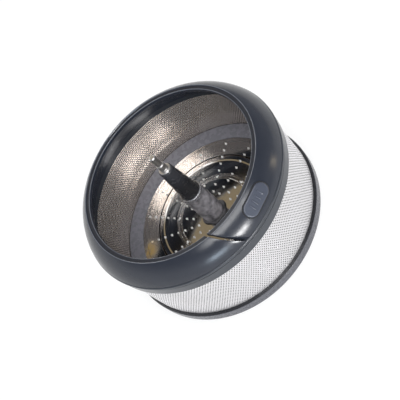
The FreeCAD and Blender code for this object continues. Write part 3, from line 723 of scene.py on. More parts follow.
class BasketRing(bpy.types.PropertyGroup):
    plastic: colour("Plastic", "Colour of the retaining ring", (0.015, 0.018, 0.026))
    worn: colour("Worn plastic", "Colour of the ring where it is rubbed", (0.020, 0.023, 0.032))
    # Painted sheen: the pad's colours are a lighter copy of the ring's plastic, for the light on the
    # pad's face
    pad: colour("Pad", "Colour of the press pad", (0.044, 0.050, 0.069))
    pad_worn: colour("Worn pad", "Colour of the press pad where it is rubbed", (0.058, 0.065, 0.085))
    # Painted highlight: pale colour for lines painted along the crest and the shelf
    edge: colour("Worn edge", "Colour of the ring's edges, rubbed pale", (0.105, 0.114, 0.135))
    gloss: share("Roughness", "Roughness of the ring's plastic", 0.20)
    dome: length("Dome radius", "Curve of the dome in section", 29.0 * MM)
    wall: length("Wall", "Thickness of the dome", 2.2 * MM)
    slit_gap: length("Slit gap", "Width of the slit through the ring", 1.5 * MM)
    slit_curve: length("Slit curve", "Radius of the slit's curve in plan", 27.5 * MM)
    slit_edge: length("Slit edge", "Rounding of the slit's edges", 0.3 * MM)
    pad_turn: angle("Pad turn", "Press pad round the ring from the front", 17.6)
    pad_slope: angle("Pad slope", "Direction that the pad faces, above level", 39.6)
    pad_length: length("Pad length", "Length of the press pad", 22.7 * MM)
    pad_width: length("Pad width", "Width of the press pad", 10.1 * MM)
    pad_rise: length("Pad rise", "Face of the pad above the dome", 0.3 * MM)
    # Painted shade: the black band round the pad stands in for the gap round it; thickness and colour of
    # that band
    shadow_band: length("Gasket", "Thickness of the gasket round the press pad", 0.8 * MM)
    shadow_black: colour("Gasket rubber", "Colour of the gasket", (0.006, 0.006, 0.008))
    grips: count("Grip bars", "Raised bars on the press pad", 4)
    grip_pitch: length("Grip pitch", "Distance between grip bars", 3.4 * MM)
    grip_length: length("Grip length", "Length of a grip bar", 4.6 * MM)
    grip_width: length("Grip width", "Width of a grip bar", 1.1 * MM)
    grip_rise: length("Grip rise", "Grip bar above the pad", 0.5 * MM)


class BasketDrum(bpy.types.PropertyGroup):
    slate: colour("Slate plastic", "Colour of the rim", (0.027, 0.031, 0.039))
    slate_worn: colour("Worn slate", "Colour of the rim where it is rubbed", (0.034, 0.038, 0.046))
    grey: colour("Grey plastic", "Colour of the base", (0.066, 0.067, 0.078))
    grey_worn: colour("Worn grey", "Colour of the base where it is rubbed", (0.078, 0.079, 0.091))
    # The band on the base's lip, above the flange, is painted near-black
    dark_lip_band: colour("Darkened band", "Colour of the band on the base's lip", (0.012, 0.012, 0.014))
    # Painted light: the base's own plastic, painted much paler on the ledge inside the basket
    ledge: colour("Ledge", "Colour of the painted_light ledge inside the base", (0.200, 0.200, 0.228))
    slate_gloss: share("Rim roughness", "Roughness of the rim", 0.20)
    grey_gloss: share("Grey roughness", "Roughness of the base", 0.26)
    steel: colour("Screen steel", "Colour of the sheet's outside", (0.82, 0.81, 0.83))
    steel_smear: colour("Screen smears", "Colour of smears on the sheet's outside", (0.76, 0.75, 0.76))
    steel_inside: colour("Screen inside", "Colour of the sheet's inside", (0.82, 0.745, 0.685))
    inside_smear: colour("Inside smears", "Colour of dried juice on the inside", (0.70, 0.61, 0.54))
    steel_gloss: share("Screen roughness", "Roughness of the sheet's outside", 0.38)
    inside_gloss: share("Inside roughness", "Roughness of the sheet's inside", 0.16)
    columns: count("Columns", "Holes in one row round the drum", 236)
    rows: count("Rows", "Rows of holes", 26)
    row_pitch: length("Row pitch", "Height between two rows of holes", 1.62 * MM)
    hole: length("Hole radius", "Hole on the outside of the sheet", 0.50 * MM)
    inner_hole: length("Inner hole radius", "Hole on the inside of the sheet", 0.66 * MM)
    throat: length("Throat radius", "Narrowest place of a hole, inside the sheet", 0.17 * MM)
    # Painted shade: colour on the walls of the holes
    shade: colour("Hole", "Colour inside a hole", (0.018, 0.016, 0.014))
    wall: length("Sheet", "Thickness of the sheet", SHEET)
    ribs: count("Ribs", "Stiffening ribs under the base", 8)
    splines: count("Splines", "Spline grooves in the drive socket", 4)


class BasketDisc(bpy.types.PropertyGroup):
    steel: colour("Steel", "Colour of the grater disc", (0.66, 0.655, 0.655))
    stain: colour("Stain", "Warm stain on the disc", (0.58, 0.52, 0.44))
    # Painted shade: dark brown colour along the fine groove
    groove_shade: colour("Soil", "Colour of dried juice in the fine groove", (0.060, 0.040, 0.026))
    # Painted reflection: colour of the warm gold patch painted on the disc's shelf
    juice: colour("Juice", "Colour of a patch of dried juice", (0.62, 0.40, 0.09))
    gloss: share("Roughness", "Roughness of the disc", 0.09)
    wall: length("Sheet", "Thickness of the disc", 0.8 * MM)
    bead: length("Bead height", "Height of a stamped bead", 0.8 * MM)
    rows: count("Rows", "Rows of teeth round the disc", 16)
    teeth: count("Teeth", "Teeth in a row", 8)
    pitch: length("Pitch", "Distance between teeth in a row", 5.5 * MM)
    start: length("Start", "First tooth from the axis", 14.8 * MM)
    turn: angle("Turn", "Direction of the first row of teeth from +X", 9.5)
    aside: length("Aside", "Distance at which a row of teeth passes the axis", 5.8 * MM)
    tooth_height: length("Tooth height", "Tooth above the disc", 1.5 * MM)
    tooth_width: length("Tooth width", "Foot of a tooth", 2.0 * MM)
    # Painted glints: near-white colour for the teeth
    tooth_glint: colour("Tooth steel", "Colour of the torn steel of a tooth", (0.95, 0.94, 0.92))


class BasketSpindle(bpy.types.PropertyGroup):
    hub: colour("Hub", "Colour of the thick lower part", (0.060, 0.058, 0.067))
    hub_worn: colour("Worn hub", "Colour of the hub where it is scuffed", (0.52, 0.50, 0.54))
    # Painted shade: near-black colour for the hub towards its foot
    foot: colour("Hub foot", "Colour of the hub's foot", (0.022, 0.021, 0.023))
    lobes: count("Lobes", "Lobes round the hub's foot", 6)
    sleeve: colour("Sleeve", "Colour of the tapered sleeve", (0.020, 0.021, 0.025))
    sleeve_worn: colour("Worn sleeve", "Colour of the sleeve where it is rubbed", (0.034, 0.035, 0.040))
    collar: colour("Collar", "Colour of the sleeve's collar", (0.52, 0.52, 0.55))
    steel: colour("Steel", "Colour of the shaft and the washer", (0.66, 0.65, 0.64))
    stain: colour("Stain", "Stain on the shaft", (0.46, 0.44, 0.42))


class BasketStage(bpy.types.PropertyGroup):
    lens: bpy.props.FloatProperty(
        name="Lens", description="Focal length of the camera in millimetres", default=63.5, min=1.0,
        unit="CAMERA")
    eye: bpy.props.FloatVectorProperty(
        name="Eye", description="Place of the camera", default=(-0.00023, -0.32155, 0.40058),
        size=3, unit="LENGTH", subtype="TRANSLATION")
    look_down: angle("Look down", "Camera's view below level", 48.86)
    roll: angle("Roll", "Turn of the camera about its view", 49.17)
    floor: colour("Floor", "Colour of the floor", (0.9, 0.9, 0.9))


# Details
END_STEPS = 5
SMALL_SEGMENTS = 8
SLIT_FADE = 0.12
PAD_EDGE = 0.8 * MM
GRIP_ROOT = 0.4 * MM
GRIP_EDGE = 0.3 * MM
HOLE_SKIN = 0.02 * MM
SPLINE_HALF = 1.0 * MM
SPLINE_DEPTH = 1.0 * MM
SPLINE_TOP = BOSS_LOW + 5.0 * MM
SPLINE_EDGE = 0.2 * MM
RIB_HALF = 0.9 * MM
RIB_ROOT = 0.9 * MM
RIB_LOW = 1.6 * MM
RIB_TOP = FLOOR_UNDER + 0.5 * MM
RIB_EDGE = 0.35 * MM
LOBE_DEPTH = 0.3
TIP_BEVEL = 0.5 * MM
# Painted reflection: place and reach of the warm gold patch on the disc's shelf
GOLD_REFLECTION_SPOT = Vector((-52.1 * MM, 22.6 * MM, 12.4 * MM))
GOLD_REFLECTION_REACH = 10.0 * MM
FLOOR_HALF = 3.0
FLOOR_LEVEL = -0.1 * MM
LAMP_TARGET = Vector((0.0, 0.0, 0.06))

# The fine groove from the disc's edge, in millimetres
GROOVE_INSET = 15.9

# Layers of a tooth: scale, level, lean and squeeze, as shares of its width and height
TOOTH_LAYERS = (
    (1.0, -0.25, 0.0, 1.0), (0.86, 0.05, 0.02, 1.0), (0.62, 0.38, 0.08, 0.95),
    (0.42, 0.72, 0.2, 0.8), (0.2, 1.0, 0.34, 0.4))


# Retaining ring

def dome_centre(dome):
    """Centre of the arc from the ring's foot to its crest."""
    chord = CREST - DOME_FOOT
    reach = math.sqrt(dome ** 2 - (chord.length / 2) ** 2)
    return (DOME_FOOT + CREST) / 2 + Vector((-chord.y, chord.x)).normalized() * reach


def ring_section(ring):
    """Skirt with its snap bead, foot, dome, crest, step with a narrow shelf, lip and underside."""
    centre = dome_centre(ring.dome)
    under = ring.dome - ring.wall
    foot, crest = (math.atan2(spot.y - centre.y, spot.x - centre.x) for spot in (DOME_FOOT, CREST))
    under_start = math.asin((RING_LIP.y + RING_LIP_EDGE - centre.y) / under)
    under_end = math.acos((SKIRT_IN - centre.x) / under)
    dome = arc(centre, ring.dome, foot, crest, 24)
    beside_foot = 3  # points of the dome that the foot's rounding takes up
    return rounded([
        (SKIRT_IN, RING_LOW, 0.3),
        (SKIRT_OUT, RING_LOW, 0.4),
        (SKIRT_OUT, SNAP_LEVEL - SNAP_HALF, 0.3),
        (SKIRT_OUT + SNAP_HEIGHT, SNAP_LEVEL, 0.5),
        (SKIRT_OUT, SNAP_LEVEL + SNAP_HALF, 0.3),
        (SKIRT_OUT, RIM_TOP, 0.1),
        (*DOME_FOOT, 0.6),
        *dome[beside_foot:-1],
        (*CREST, 0.35),
        (*STEP, 0.2),
        (*SHELF, 0.35),
        (*RING_LIP, 0.5),
        *arc(centre, under, under_start, under_end, 14),
    ])


def slit_angle(radius, curve):
    """Where the slit's edge, an arc in plan, crosses a circle about the axis."""
    away = SLIT_CENTRE.length
    opening = math.acos((radius ** 2 + away ** 2 - curve ** 2) / (2 * radius * away))
    return math.atan2(SLIT_CENTRE.y, SLIT_CENTRE.x) - opening


def inward_sides(section):
    """Direction into the material at each point of a section."""
    area = sum(section[index - 1].cross(point) for index, point in enumerate(section))
    sides = []
    for index in range(len(section)):
        along = section[(index + 1) % len(section)] - section[index - 1]
        side = Vector((-along.y, along.x)).normalized()
        sides.append(side if area > 0 else -side)
    return sides


def ring_columns(ring):
    """Columns of the split ring, from one edge of the slit round to the other, with rounded ends."""
    section = ring_section(ring)
    inwards = inward_sides(section)
    near, far = ring.slit_curve - ring.slit_gap / 2, ring.slit_curve + ring.slit_gap / 2
    middle = (RING_REACH + CREST.x) / 2
    plain_start, plain_stop = slit_angle(middle, near), slit_angle(middle, far) + FULL_TURN
    bends = [QUARTER_TURN * step / END_STEPS for step in range(END_STEPS)]
    stations = [(0.0, bend, 1) for bend in bends]
    stations += [(turn / RING_SEGMENTS, QUARTER_TURN, 0) for turn in range(RING_SEGMENTS + 1)]
    stations += [(1.0, bend, -1) for bend in reversed(bends)]
    columns = []
    for turn, bend, end in stations:
        column = []
        for point, inward in zip(section, inwards):
            spot = point + inward * ring.slit_edge * (1 - math.sin(bend))
            room = ring.slit_edge / spot.x
            start, stop = slit_angle(spot.x, near), slit_angle(spot.x, far) + FULL_TURN
            heading = plain_start + room + (plain_stop - plain_start - 2 * room) * turn
            heading += (start - plain_start) * max(0.0, 1 - turn / SLIT_FADE)
            heading += (stop - plain_stop) * max(0.0, 1 - (1 - turn) / SLIT_FADE)
            heading -= end * room * math.cos(bend)
            column.append(around_axis(spot.x, heading, spot.y))
        columns.append(column)
    return columns


def ring_mesh(ring):
    """Split ring whose two ends are capped."""
    columns = ring_columns(ring)
    vertices, faces = flatten(columns), bridge(columns)
    count = len(columns[0])
    for start in (0, len(vertices) - count):
        end = vertices[start:start + count]
        flat = [Vector((math.hypot(spot.x, spot.y), spot.z, 0)) for spot in end]
        for triangle in geometry.tessellate_polygon([flat]):
            faces.append(tuple(start + corner for corner in triangle))
    return new_mesh("retaining_ring_dome", vertices, faces)


def pad_place(ring):
    """Frame of the press pad: X along its length, Z out of its face."""
    centre = dome_centre(ring.dome)
    out = centre.x + (ring.dome + ring.pad_rise) * math.cos(ring.pad_slope)
    level = centre.y + (ring.dome + ring.pad_rise) * math.sin(ring.pad_slope)
    turned = Matrix.Rotation(ring.pad_turn, 4, "Z") @ Matrix.Translation((0, -out, level))
    return turned @ Matrix.Rotation(QUARTER_TURN - ring.pad_slope, 4, "X")


def oval(half_length, half_width, level=0.0, steps=20):
    """Outline of two straight sides joined by half circles."""
    points = []
    for side in (1, -1):
        middle = side * (half_length - half_width)
        for step in range(steps + 1):
            turn = math.pi * (step / steps - side / 2)
            points.append(Vector((
                middle + half_width * math.cos(turn), half_width * math.sin(turn), level)))
    return points


def pad_mesh(ring):
    """Press pad with a rounded edge and a slightly domed face."""
    half_length, half_width = ring.pad_length / 2, ring.pad_width / 2
    layers = [(0.25 * MM, -1.7 * MM), (0.05 * MM, -0.95 * MM)]
    for step in range(END_STEPS + 1):
        bend = QUARTER_TURN * step / END_STEPS
        layers.append((PAD_EDGE * (1 - math.cos(bend)), -PAD_EDGE * (1 - math.sin(bend))))
    layers += [(PAD_EDGE + 1.0 * MM, 0.03 * MM), (PAD_EDGE + 2.4 * MM, 0.06 * MM),
               (half_width - 0.2 * MM, 0.08 * MM)]
    return stack("press_pad", [
        oval(half_length - inset, half_width - inset, level) for inset, level in layers])


def dome_under(place, ring, point):
    """Point of the dome straight under a point of the pad's plane."""
    centre = dome_centre(ring.dome)
    high, low = 1.0 * MM, -4.0 * MM
    for _ in range(24):
        level = (high + low) / 2
        spot = place @ Vector((point.x, point.y, level))
        if math.hypot(math.hypot(spot.x, spot.y) - centre.x, spot.z - centre.y) > ring.dome:
            high = level
        else:
            low = level
    return spot


def shadow_band_mesh(ring, place):
    """Thin black band on the dome round the press pad, painted shade for the gap round the pad."""
    outside = ring.shadow_band / 3
    outline = oval(ring.pad_length / 2 + outside, ring.pad_width / 2 + outside)
    path = [dome_under(place, ring, point) for point in outline]
    face = place.to_3x3() @ Vector((0, 0, 1))
    columns = []
    for index, spot in enumerate(path):
        side = (path[(index + 1) % len(path)] - path[index - 1]).cross(face).normalized()
        columns.append([
            spot + (side * math.cos(turn) + face * math.sin(turn)) * ring.shadow_band / 2
            for turn in even_turns(SMALL_SEGMENTS)])
    return new_mesh("pad_gasket", flatten(columns), bridge(columns, joined=True))


# Rim, base and disc

def rim_section():
    """Slotted band, parting groove and bead of the rim, with the catch groove inside."""
    return rounded([
        (RIM_INSIDE, RIM_LOW, 0.25),
        (SLOT_IN, RIM_LOW, 0.1),
        (SLOT_IN, MESH_TOP, 0),
        (SLOT_OUT, MESH_TOP, 0),
        (SLOT_OUT, RIM_LOW, 0.1),
        (RIM_BAND, RIM_LOW, 0.5),
        (RIM_BAND, BAND_TOP, 0.3),
        (RIM_GROOVE, BAND_TOP, 0.1),
        (RIM_GROOVE, BEAD_LOW, 0.1),
        (RIM_REACH, BEAD_LOW, 0.5),
        (RIM_REACH, RIM_TOP, 1.0),
        (RIM_INSIDE, RIM_TOP, 0.3),
        (RIM_INSIDE, SNAP_LEVEL + SNAP_HALF, 0.2),
        (RIM_INSIDE + SNAP_HEIGHT, SNAP_LEVEL, 0.4),
        (RIM_INSIDE, SNAP_LEVEL - SNAP_HALF, 0.2),
    ])


def base_section():
    """Drive boss, floor, flange, lip, slot for the sheet, inner ledge and seat for the disc."""
    return rounded([
        (BORE, BOSS_LOW, 0.4),
        (BOSS_REACH, BOSS_LOW, 0.5),
        (BOSS_REACH, FLOOR_UNDER, 0.6),
        (FLANGE_INSIDE, FLOOR_UNDER, 1.0),
        (FLANGE_INSIDE, 0.0, 0.4),
        (FLANGE_REACH - FLANGE_BEVEL, 0.0, 0.3),
        (FLANGE_REACH, FLANGE_BEVEL, 0.5),
        (FLANGE_REACH, FLANGE_TOP, 0.35),
        (SLOT_OUT + 0.3 * MM, BASE_LIP_TOP, 0.12),
        (SLOT_OUT, BASE_LIP_TOP, 0.1),
        (SLOT_OUT, MESH_LOW, 0),
        (SLOT_IN, MESH_LOW, 0),
        (SLOT_IN, BASE_TOP, 0.4),
        (SEAT_WALL, SEAT + 0.8 * MM, 0.25),
        (SEAT_WALL, SEAT, 0.1),
        (BOSS_REACH, SEAT, 0.3),
        (BOSS_REACH, BOSS_TOP, 0.3),
        (SPIGOT_HOLE, BOSS_TOP, 0.15),
        (SPIGOT_HOLE, SPIGOT_LOW, 0),
        (BORE, SPIGOT_LOW, 0),
    ])


def disc_side(disc, drop):
    """One side of the disc's sheet: shelf with a fine groove, dished floor, double bead and hole."""
    rim, floor = SEAT + disc.wall - drop, BOSS_TOP + disc.wall - drop
    shelf, ridge = floor + 0.7 * MM, floor + disc.bead * 0.8
    groove, dish, between = shelf - 0.4 * MM, floor + 0.4 * MM, floor + 0.1 * MM
    insets = (  # all but the heights in millimetres, from the disc's edge inwards
        (0.0, rim, 0.2), (3.0, rim, 0.9), (4.6, shelf, 0.9),
        (GROOVE_INSET - 0.7, shelf, 0.2), (GROOVE_INSET, groove, 0.2), (GROOVE_INSET + 0.7, shelf, 0.2),
        (19.4, shelf, 0.5), (20.6, dish, 0.5),
        (31.0, floor, 0.25), (31.5, ridge, 0.3), (32.2, ridge, 0.3), (32.7, between, 0.2),
        (33.3, between, 0.2), (33.8, ridge, 0.3), (34.5, ridge, 0.3), (35.0, floor, 0.25))
    corners = [(DISC_REACH - inset * MM, level, rounding) for inset, level, rounding in insets]
    return corners + [(SPIGOT_HOLE, floor, 0.2)]


def disc_section(disc):
    over, under = disc_side(disc, 0.0), disc_side(disc, disc.wall)
    return rounded(over + under[::-1])


def tooth_mesh(disc):
    """Punched tooth: a flared foot drawn up to a short torn edge that leans along the turn."""
    half = disc.tooth_width / 2
    outlines = []
    for scale, level, lean, squeeze in TOOTH_LAYERS:
        place = Vector((0, half * lean, disc.tooth_height * level))
        pressed = Matrix.Diagonal((1, squeeze, 1))
        outlines.append([place + pressed @ around_axis(half * scale, turn, 0)
                         for turn in even_turns(SMALL_SEGMENTS)])
    return stack("tooth", outlines)


# Spindle

def hub_section(disc_top):
    """Hub from its drive end over the spigot and the foot to the shaft's bore."""
    spigot, foot_top = SPIGOT_HOLE - 0.1 * MM, disc_top + 1.8 * MM
    return rounded([
        (0.0, DRIVE_TOP, 0),
        (BORE, DRIVE_TOP, 0.4),
        (BORE, SPIGOT_LOW, 0.3),
        (spigot, SPIGOT_LOW, 0.3),
        (spigot, disc_top, 0),
        (HUB_FOOT, disc_top, 0.2),
        (HUB_FOOT, foot_top, 0.8),
        (HUB_REACH, foot_top, 1.2),
        (HUB_REACH, HUB_TOP, 0.3),
        (SHAFT_BORE, HUB_TOP, 0.2),
        (SHAFT_BORE, SHAFT_LOW, 0),
        (0.0, SHAFT_LOW, 0),
    ], closed=False)


def sleeve_section():
    """Collar with two ridges and a tapered sleeve."""
    return rounded([
        (SHAFT_BORE, HUB_TOP, 0.1),
        (COLLAR_REACH - 0.5 * MM, HUB_TOP, 0.3),
        (COLLAR_REACH, HUB_TOP + 0.6 * MM, 0.4),
        (COLLAR_REACH - 0.4 * MM, HUB_TOP + 1.2 * MM, 0.15),
        (COLLAR_REACH, HUB_TOP + 1.7 * MM, 0.4),
        (COLLAR_REACH - 0.5 * MM, COLLAR_TOP, 0.4),
        (SLEEVE_FOOT, COLLAR_TOP, 0.6),
        (SLEEVE_HEAD, SLEEVE_TOP, 0.6),
        (SHAFT_BORE, SLEEVE_TOP, 0.2),
    ])


def washer_section():
    return rounded([
        (SHAFT_BORE, SLEEVE_TOP, 0.1),
        (WASHER_REACH, SLEEVE_TOP, 0.2),
        (WASHER_REACH, WASHER_TOP, 0.35),
        (SHAFT_BORE, WASHER_TOP, 0.15),
    ])


def shaft_section():
    return rounded([
        (0.0, SHAFT_LOW, 0),
        (SHAFT_REACH, SHAFT_LOW, 0.3),
        (SHAFT_REACH, SHOULDER, 0.4),
        (TIP_REACH, SHOULDER, 0.2),
        (TIP_REACH, TIP_TOP - TIP_BEVEL, 0.15),
        (TIP_REACH - TIP_BEVEL, TIP_TOP, 0.15),
        (0.0, TIP_TOP, 0),
    ], closed=False)


def scallop(mesh, lobes):
    """Draws the hub's foot into lobes."""
    for vertex in mesh.vertices:
        out = math.hypot(vertex.co.x, vertex.co.y)
        if out > HUB_REACH:
            turn = math.atan2(vertex.co.y, vertex.co.x)
            drawn = HUB_REACH + (out - HUB_REACH) * (1 - LOBE_DEPTH * (1 - math.cos(lobes * turn)))
            vertex.co.x *= drawn / out
            vertex.co.y *= drawn / out


# Operators

class BASKET_OT_ring(bpy.types.Operator):
    """Split retaining ring with its press pad, a black band round the pad as painted shade, and grip
    bars
    """
    bl_idname = "basket.ring"
    bl_label = "Retaining ring"

    def execute(self, context):
        ring = context.scene.basket_ring
        slot = "charcoal_plastic"
        plastic = moulded_plastic("charcoal_plastic", ring.plastic, ring.worn, ring.gloss, grain=700.0)
        # Painted highlight: pale lines painted along the edges of the crest and the shelf
        for edge in (CREST, SHELF):
            plastic.paint_zone(ring.edge, low=edge.y - 0.35 * MM, high=edge.y + 0.3 * MM,
                               inner=edge.x - 0.4 * MM, outer=edge.x + 0.35 * MM)
        hand_over(new_piece(ring_mesh(ring)), slot, plastic, "retaining_ring")

        place = pad_place(ring)
        # Painted sheen: the pad and its grip bars get a lighter copy of the ring's plastic
        pad_plastic = moulded_plastic("pad_plastic", ring.pad, ring.pad_worn, ring.gloss, grain=700.0)
        pad = new_piece(pad_mesh(ring))
        pad.data.transform(place)
        hand_over(pad, slot, pad_plastic)
        # Painted shade: a near-black band round the press pad stands in for the shadow in the gap round
        # it
        shadow_black = moulded_plastic("gasket_rubber", ring.shadow_black, ring.shadow_black, roughness=0.6, grain=900.0)
        hand_over(new_piece(shadow_band_mesh(ring, place)), slot, shadow_black)

        half_width, half_length = ring.grip_width / 2, ring.grip_length / 2
        grips = new_piece(soft_box(
            "grip_bars", (-half_width, -half_length, -GRIP_ROOT),
            (half_width, half_length, ring.grip_rise), GRIP_EDGE))
        run_tree(grips, line_tree(), {
            "Count": ring.grips, "Pitch": ring.grip_pitch, "Material": pad_plastic.material})
        grips.data.transform(place)
        hand_over(grips, slot, pad_plastic)
        return {"FINISHED"}


class BASKET_OT_drum(bpy.types.Operator):
    """Perforated sheet in two plies, and the rim that holds its upper edge"""
    bl_idname = "basket.drum"
    bl_label = "Drum and rim"

    def execute(self, context):
        drum = context.scene.basket_drum
        slate = moulded_plastic(
            "rim_plastic", drum.slate, drum.slate_worn, drum.slate_gloss, grain=800.0)
        rim = new_piece(lathe("upper_rim_band", rim_section(), RING_SEGMENTS))
        hand_over(rim, "grey_plastic", slate, "upper_rim")

        inside, middle = MESH_REACH - drum.wall, MESH_REACH - drum.wall / 2
        bright = screen_steel(
            "screen_steel", drum.steel, drum.steel_smear, drum.shade,
            low=0.0, high=MESH_REACH - HOLE_SKIN, roughness=drum.steel_gloss, metallic=1.0)
        dull = screen_steel(
            "screen_inside_steel", drum.steel_inside, drum.inside_smear, drum.shade,
            low=inside + HOLE_SKIN, high=MESH_REACH, roughness=drum.inside_gloss, metallic=0.76)
        tree = sheet_tree()
        for name, steel, inner_radius, hole, inner_hole, nodes in (
                ("perforated_screen", bright, middle, drum.hole, drum.throat, ["mesh_screen"]),
                ("perforated_lining", dull, inside, drum.throat, drum.inner_hole, [])):
            ply = new_piece(bpy.data.meshes.new(name))
            run_tree(ply, tree, {
                "Columns": drum.columns, "Rows": drum.rows, "Row Pitch": drum.row_pitch,
                "Hole": hole, "Inner Hole": inner_hole, "Inside": inner_radius,
                "Wall": drum.wall / 2, "Low": MESH_LOW, "High": MESH_TOP,
                "Middle": HOLES_MIDDLE, "Material": steel.material})
            hand_over(ply, "mesh_steel", steel, *nodes)
        return {"FINISHED"}


class BASKET_OT_base(bpy.types.Operator):
    """Moulded base with its flange, ledge, ribs and splined drive socket"""
    bl_idname = "basket.base"
    bl_label = "Base"

    def execute(self, context):
        drum = context.scene.basket_drum
        grey = moulded_plastic("base_plastic", drum.grey, drum.grey_worn, drum.grey_gloss, grain=900.0)
        # The lip above the flange is painted near-black
        grey.paint_zone(drum.dark_lip_band, low=FLANGE_TOP + 0.2 * MM, inner=MESH_REACH)
        # Painted light: the ledge inside the base is painted much paler than the base's plastic
        grey.paint_zone(drum.ledge, low=SEAT, outer=SLOT_IN - 0.3 * MM)
        around = polar_tree()

        base = new_piece(lathe("base_moulding", base_section(), RING_SEGMENTS))
        cutter = new_piece(soft_box(
            "spline_cutter", (SPLINE_DEPTH, -SPLINE_HALF, -SPLINE_DEPTH),
            (BORE + SPLINE_DEPTH, SPLINE_HALF, SPLINE_TOP), SPLINE_EDGE))
        run_tree(cutter, around, {"Count": drum.splines, "Material": grey.material})
        cut = base.modifiers.new("splines", "BOOLEAN")
        cut.operation = "DIFFERENCE"
        cut.solver = "EXACT"
        cut.object = cutter
        settle(base)
        bpy.data.objects.remove(cutter)
        hand_over(base, "grey_plastic", grey, "base")

        ribs = new_piece(soft_box(
            "base_ribs", (BOSS_REACH - RIB_ROOT, -RIB_HALF, RIB_LOW),
            (FLANGE_INSIDE + RIB_ROOT, RIB_HALF, RIB_TOP), RIB_EDGE))
        run_tree(ribs, around, {"Count": drum.ribs, "Material": grey.material})
        hand_over(ribs, "grey_plastic", grey)
        return {"FINISHED"}


class BASKET_OT_disc(bpy.types.Operator):
    """Stamped grater disc with its rows of teeth"""
    bl_idname = "basket.disc"
    bl_label = "Grater disc"

    def execute(self, context):
        disc = context.scene.basket_disc
        steel = toothed_steel("disc_steel", disc.steel, disc.stain, disc.tooth_glint, disc.gloss)
        groove = DISC_REACH - GROOVE_INSET * MM
        # Painted shade: the fine groove is painted dark brown
        steel.paint_zone(disc.groove_shade, inner=groove - 0.6 * MM, outer=groove + 0.6 * MM)
        # Painted reflection: a warm gold patch painted on the shelf at the lower left
        steel.paint_reflection_patch(disc.juice, GOLD_REFLECTION_SPOT, GOLD_REFLECTION_REACH)
        plate = new_piece(lathe("grater_plate", disc_section(disc), RING_SEGMENTS))
        tooth = new_piece(tooth_mesh(disc))
        run_tree(plate, tooth_tree(), {
            "Tooth": tooth, "Rows": disc.rows, "Teeth": disc.teeth, "Start": disc.start,
            "Pitch": disc.pitch, "End": TEETH_END, "Turn": disc.turn, "Aside": disc.aside,
            "Above": TEETH_ABOVE, "Material": steel.material})
        bpy.data.objects.remove(tooth)
        hand_over(plate, "disc_steel", steel, "grater_disc")
        return {"FINISHED"}


class BASKET_OT_spindle(bpy.types.Operator):
    """Hub, tapered sleeve, washer and stepped shaft on the axis"""
    bl_idname = "basket.spindle"
    bl_label = "Spindle"

    def execute(self, context):
        spindle = context.scene.basket_spindle
        disc_top = BOSS_TOP + context.scene.basket_disc.wall
        hub_finish = moulded_plastic(
            "hub_plastic", spindle.hub, spindle.hub_worn, roughness=0.38, grain=500.0, cloud=190.0)
        # Painted shade: the hub darkens towards its foot on the disc, fading out 5 mm above the disc
        hub_finish.paint_zone(spindle.foot, high=disc_top + 5.0 * MM, fade=4.0 * MM)
        sleeve_finish = moulded_plastic(
            "sleeve_plastic", spindle.sleeve, spindle.sleeve_worn, roughness=0.24, grain=600.0)
        sleeve_finish.paint_zone(
            spindle.collar, high=COLLAR_TOP, inner=SLEEVE_FOOT + 0.2 * MM, metallic=0.8)
        shaft_finish = turned_steel("shaft_steel", spindle.steel, spindle.stain, roughness=0.32)

        hub = new_piece(lathe("hub_body", hub_section(disc_top), SPINDLE_SEGMENTS, loop=False))
        scallop(hub.data, spindle.lobes)
        hand_over(hub, "hub_plastic", hub_finish, "hub")
        sleeve = new_piece(lathe("tapered_sleeve", sleeve_section(), SPINDLE_SEGMENTS))
        hand_over(sleeve, "sleeve_plastic", sleeve_finish, "spindle_sleeve")
        washer = new_piece(lathe("steel_washer", washer_section(), SPINDLE_SEGMENTS))
        hand_over(washer, "shaft_steel", shaft_finish, "sleeve_washer")
        shaft = new_piece(lathe("stepped_shaft", shaft_section(), SPINDLE_SEGMENTS, loop=False))
        hand_over(shaft, "shaft_steel", shaft_finish, "spindle_shaft")
        return {"FINISHED"}


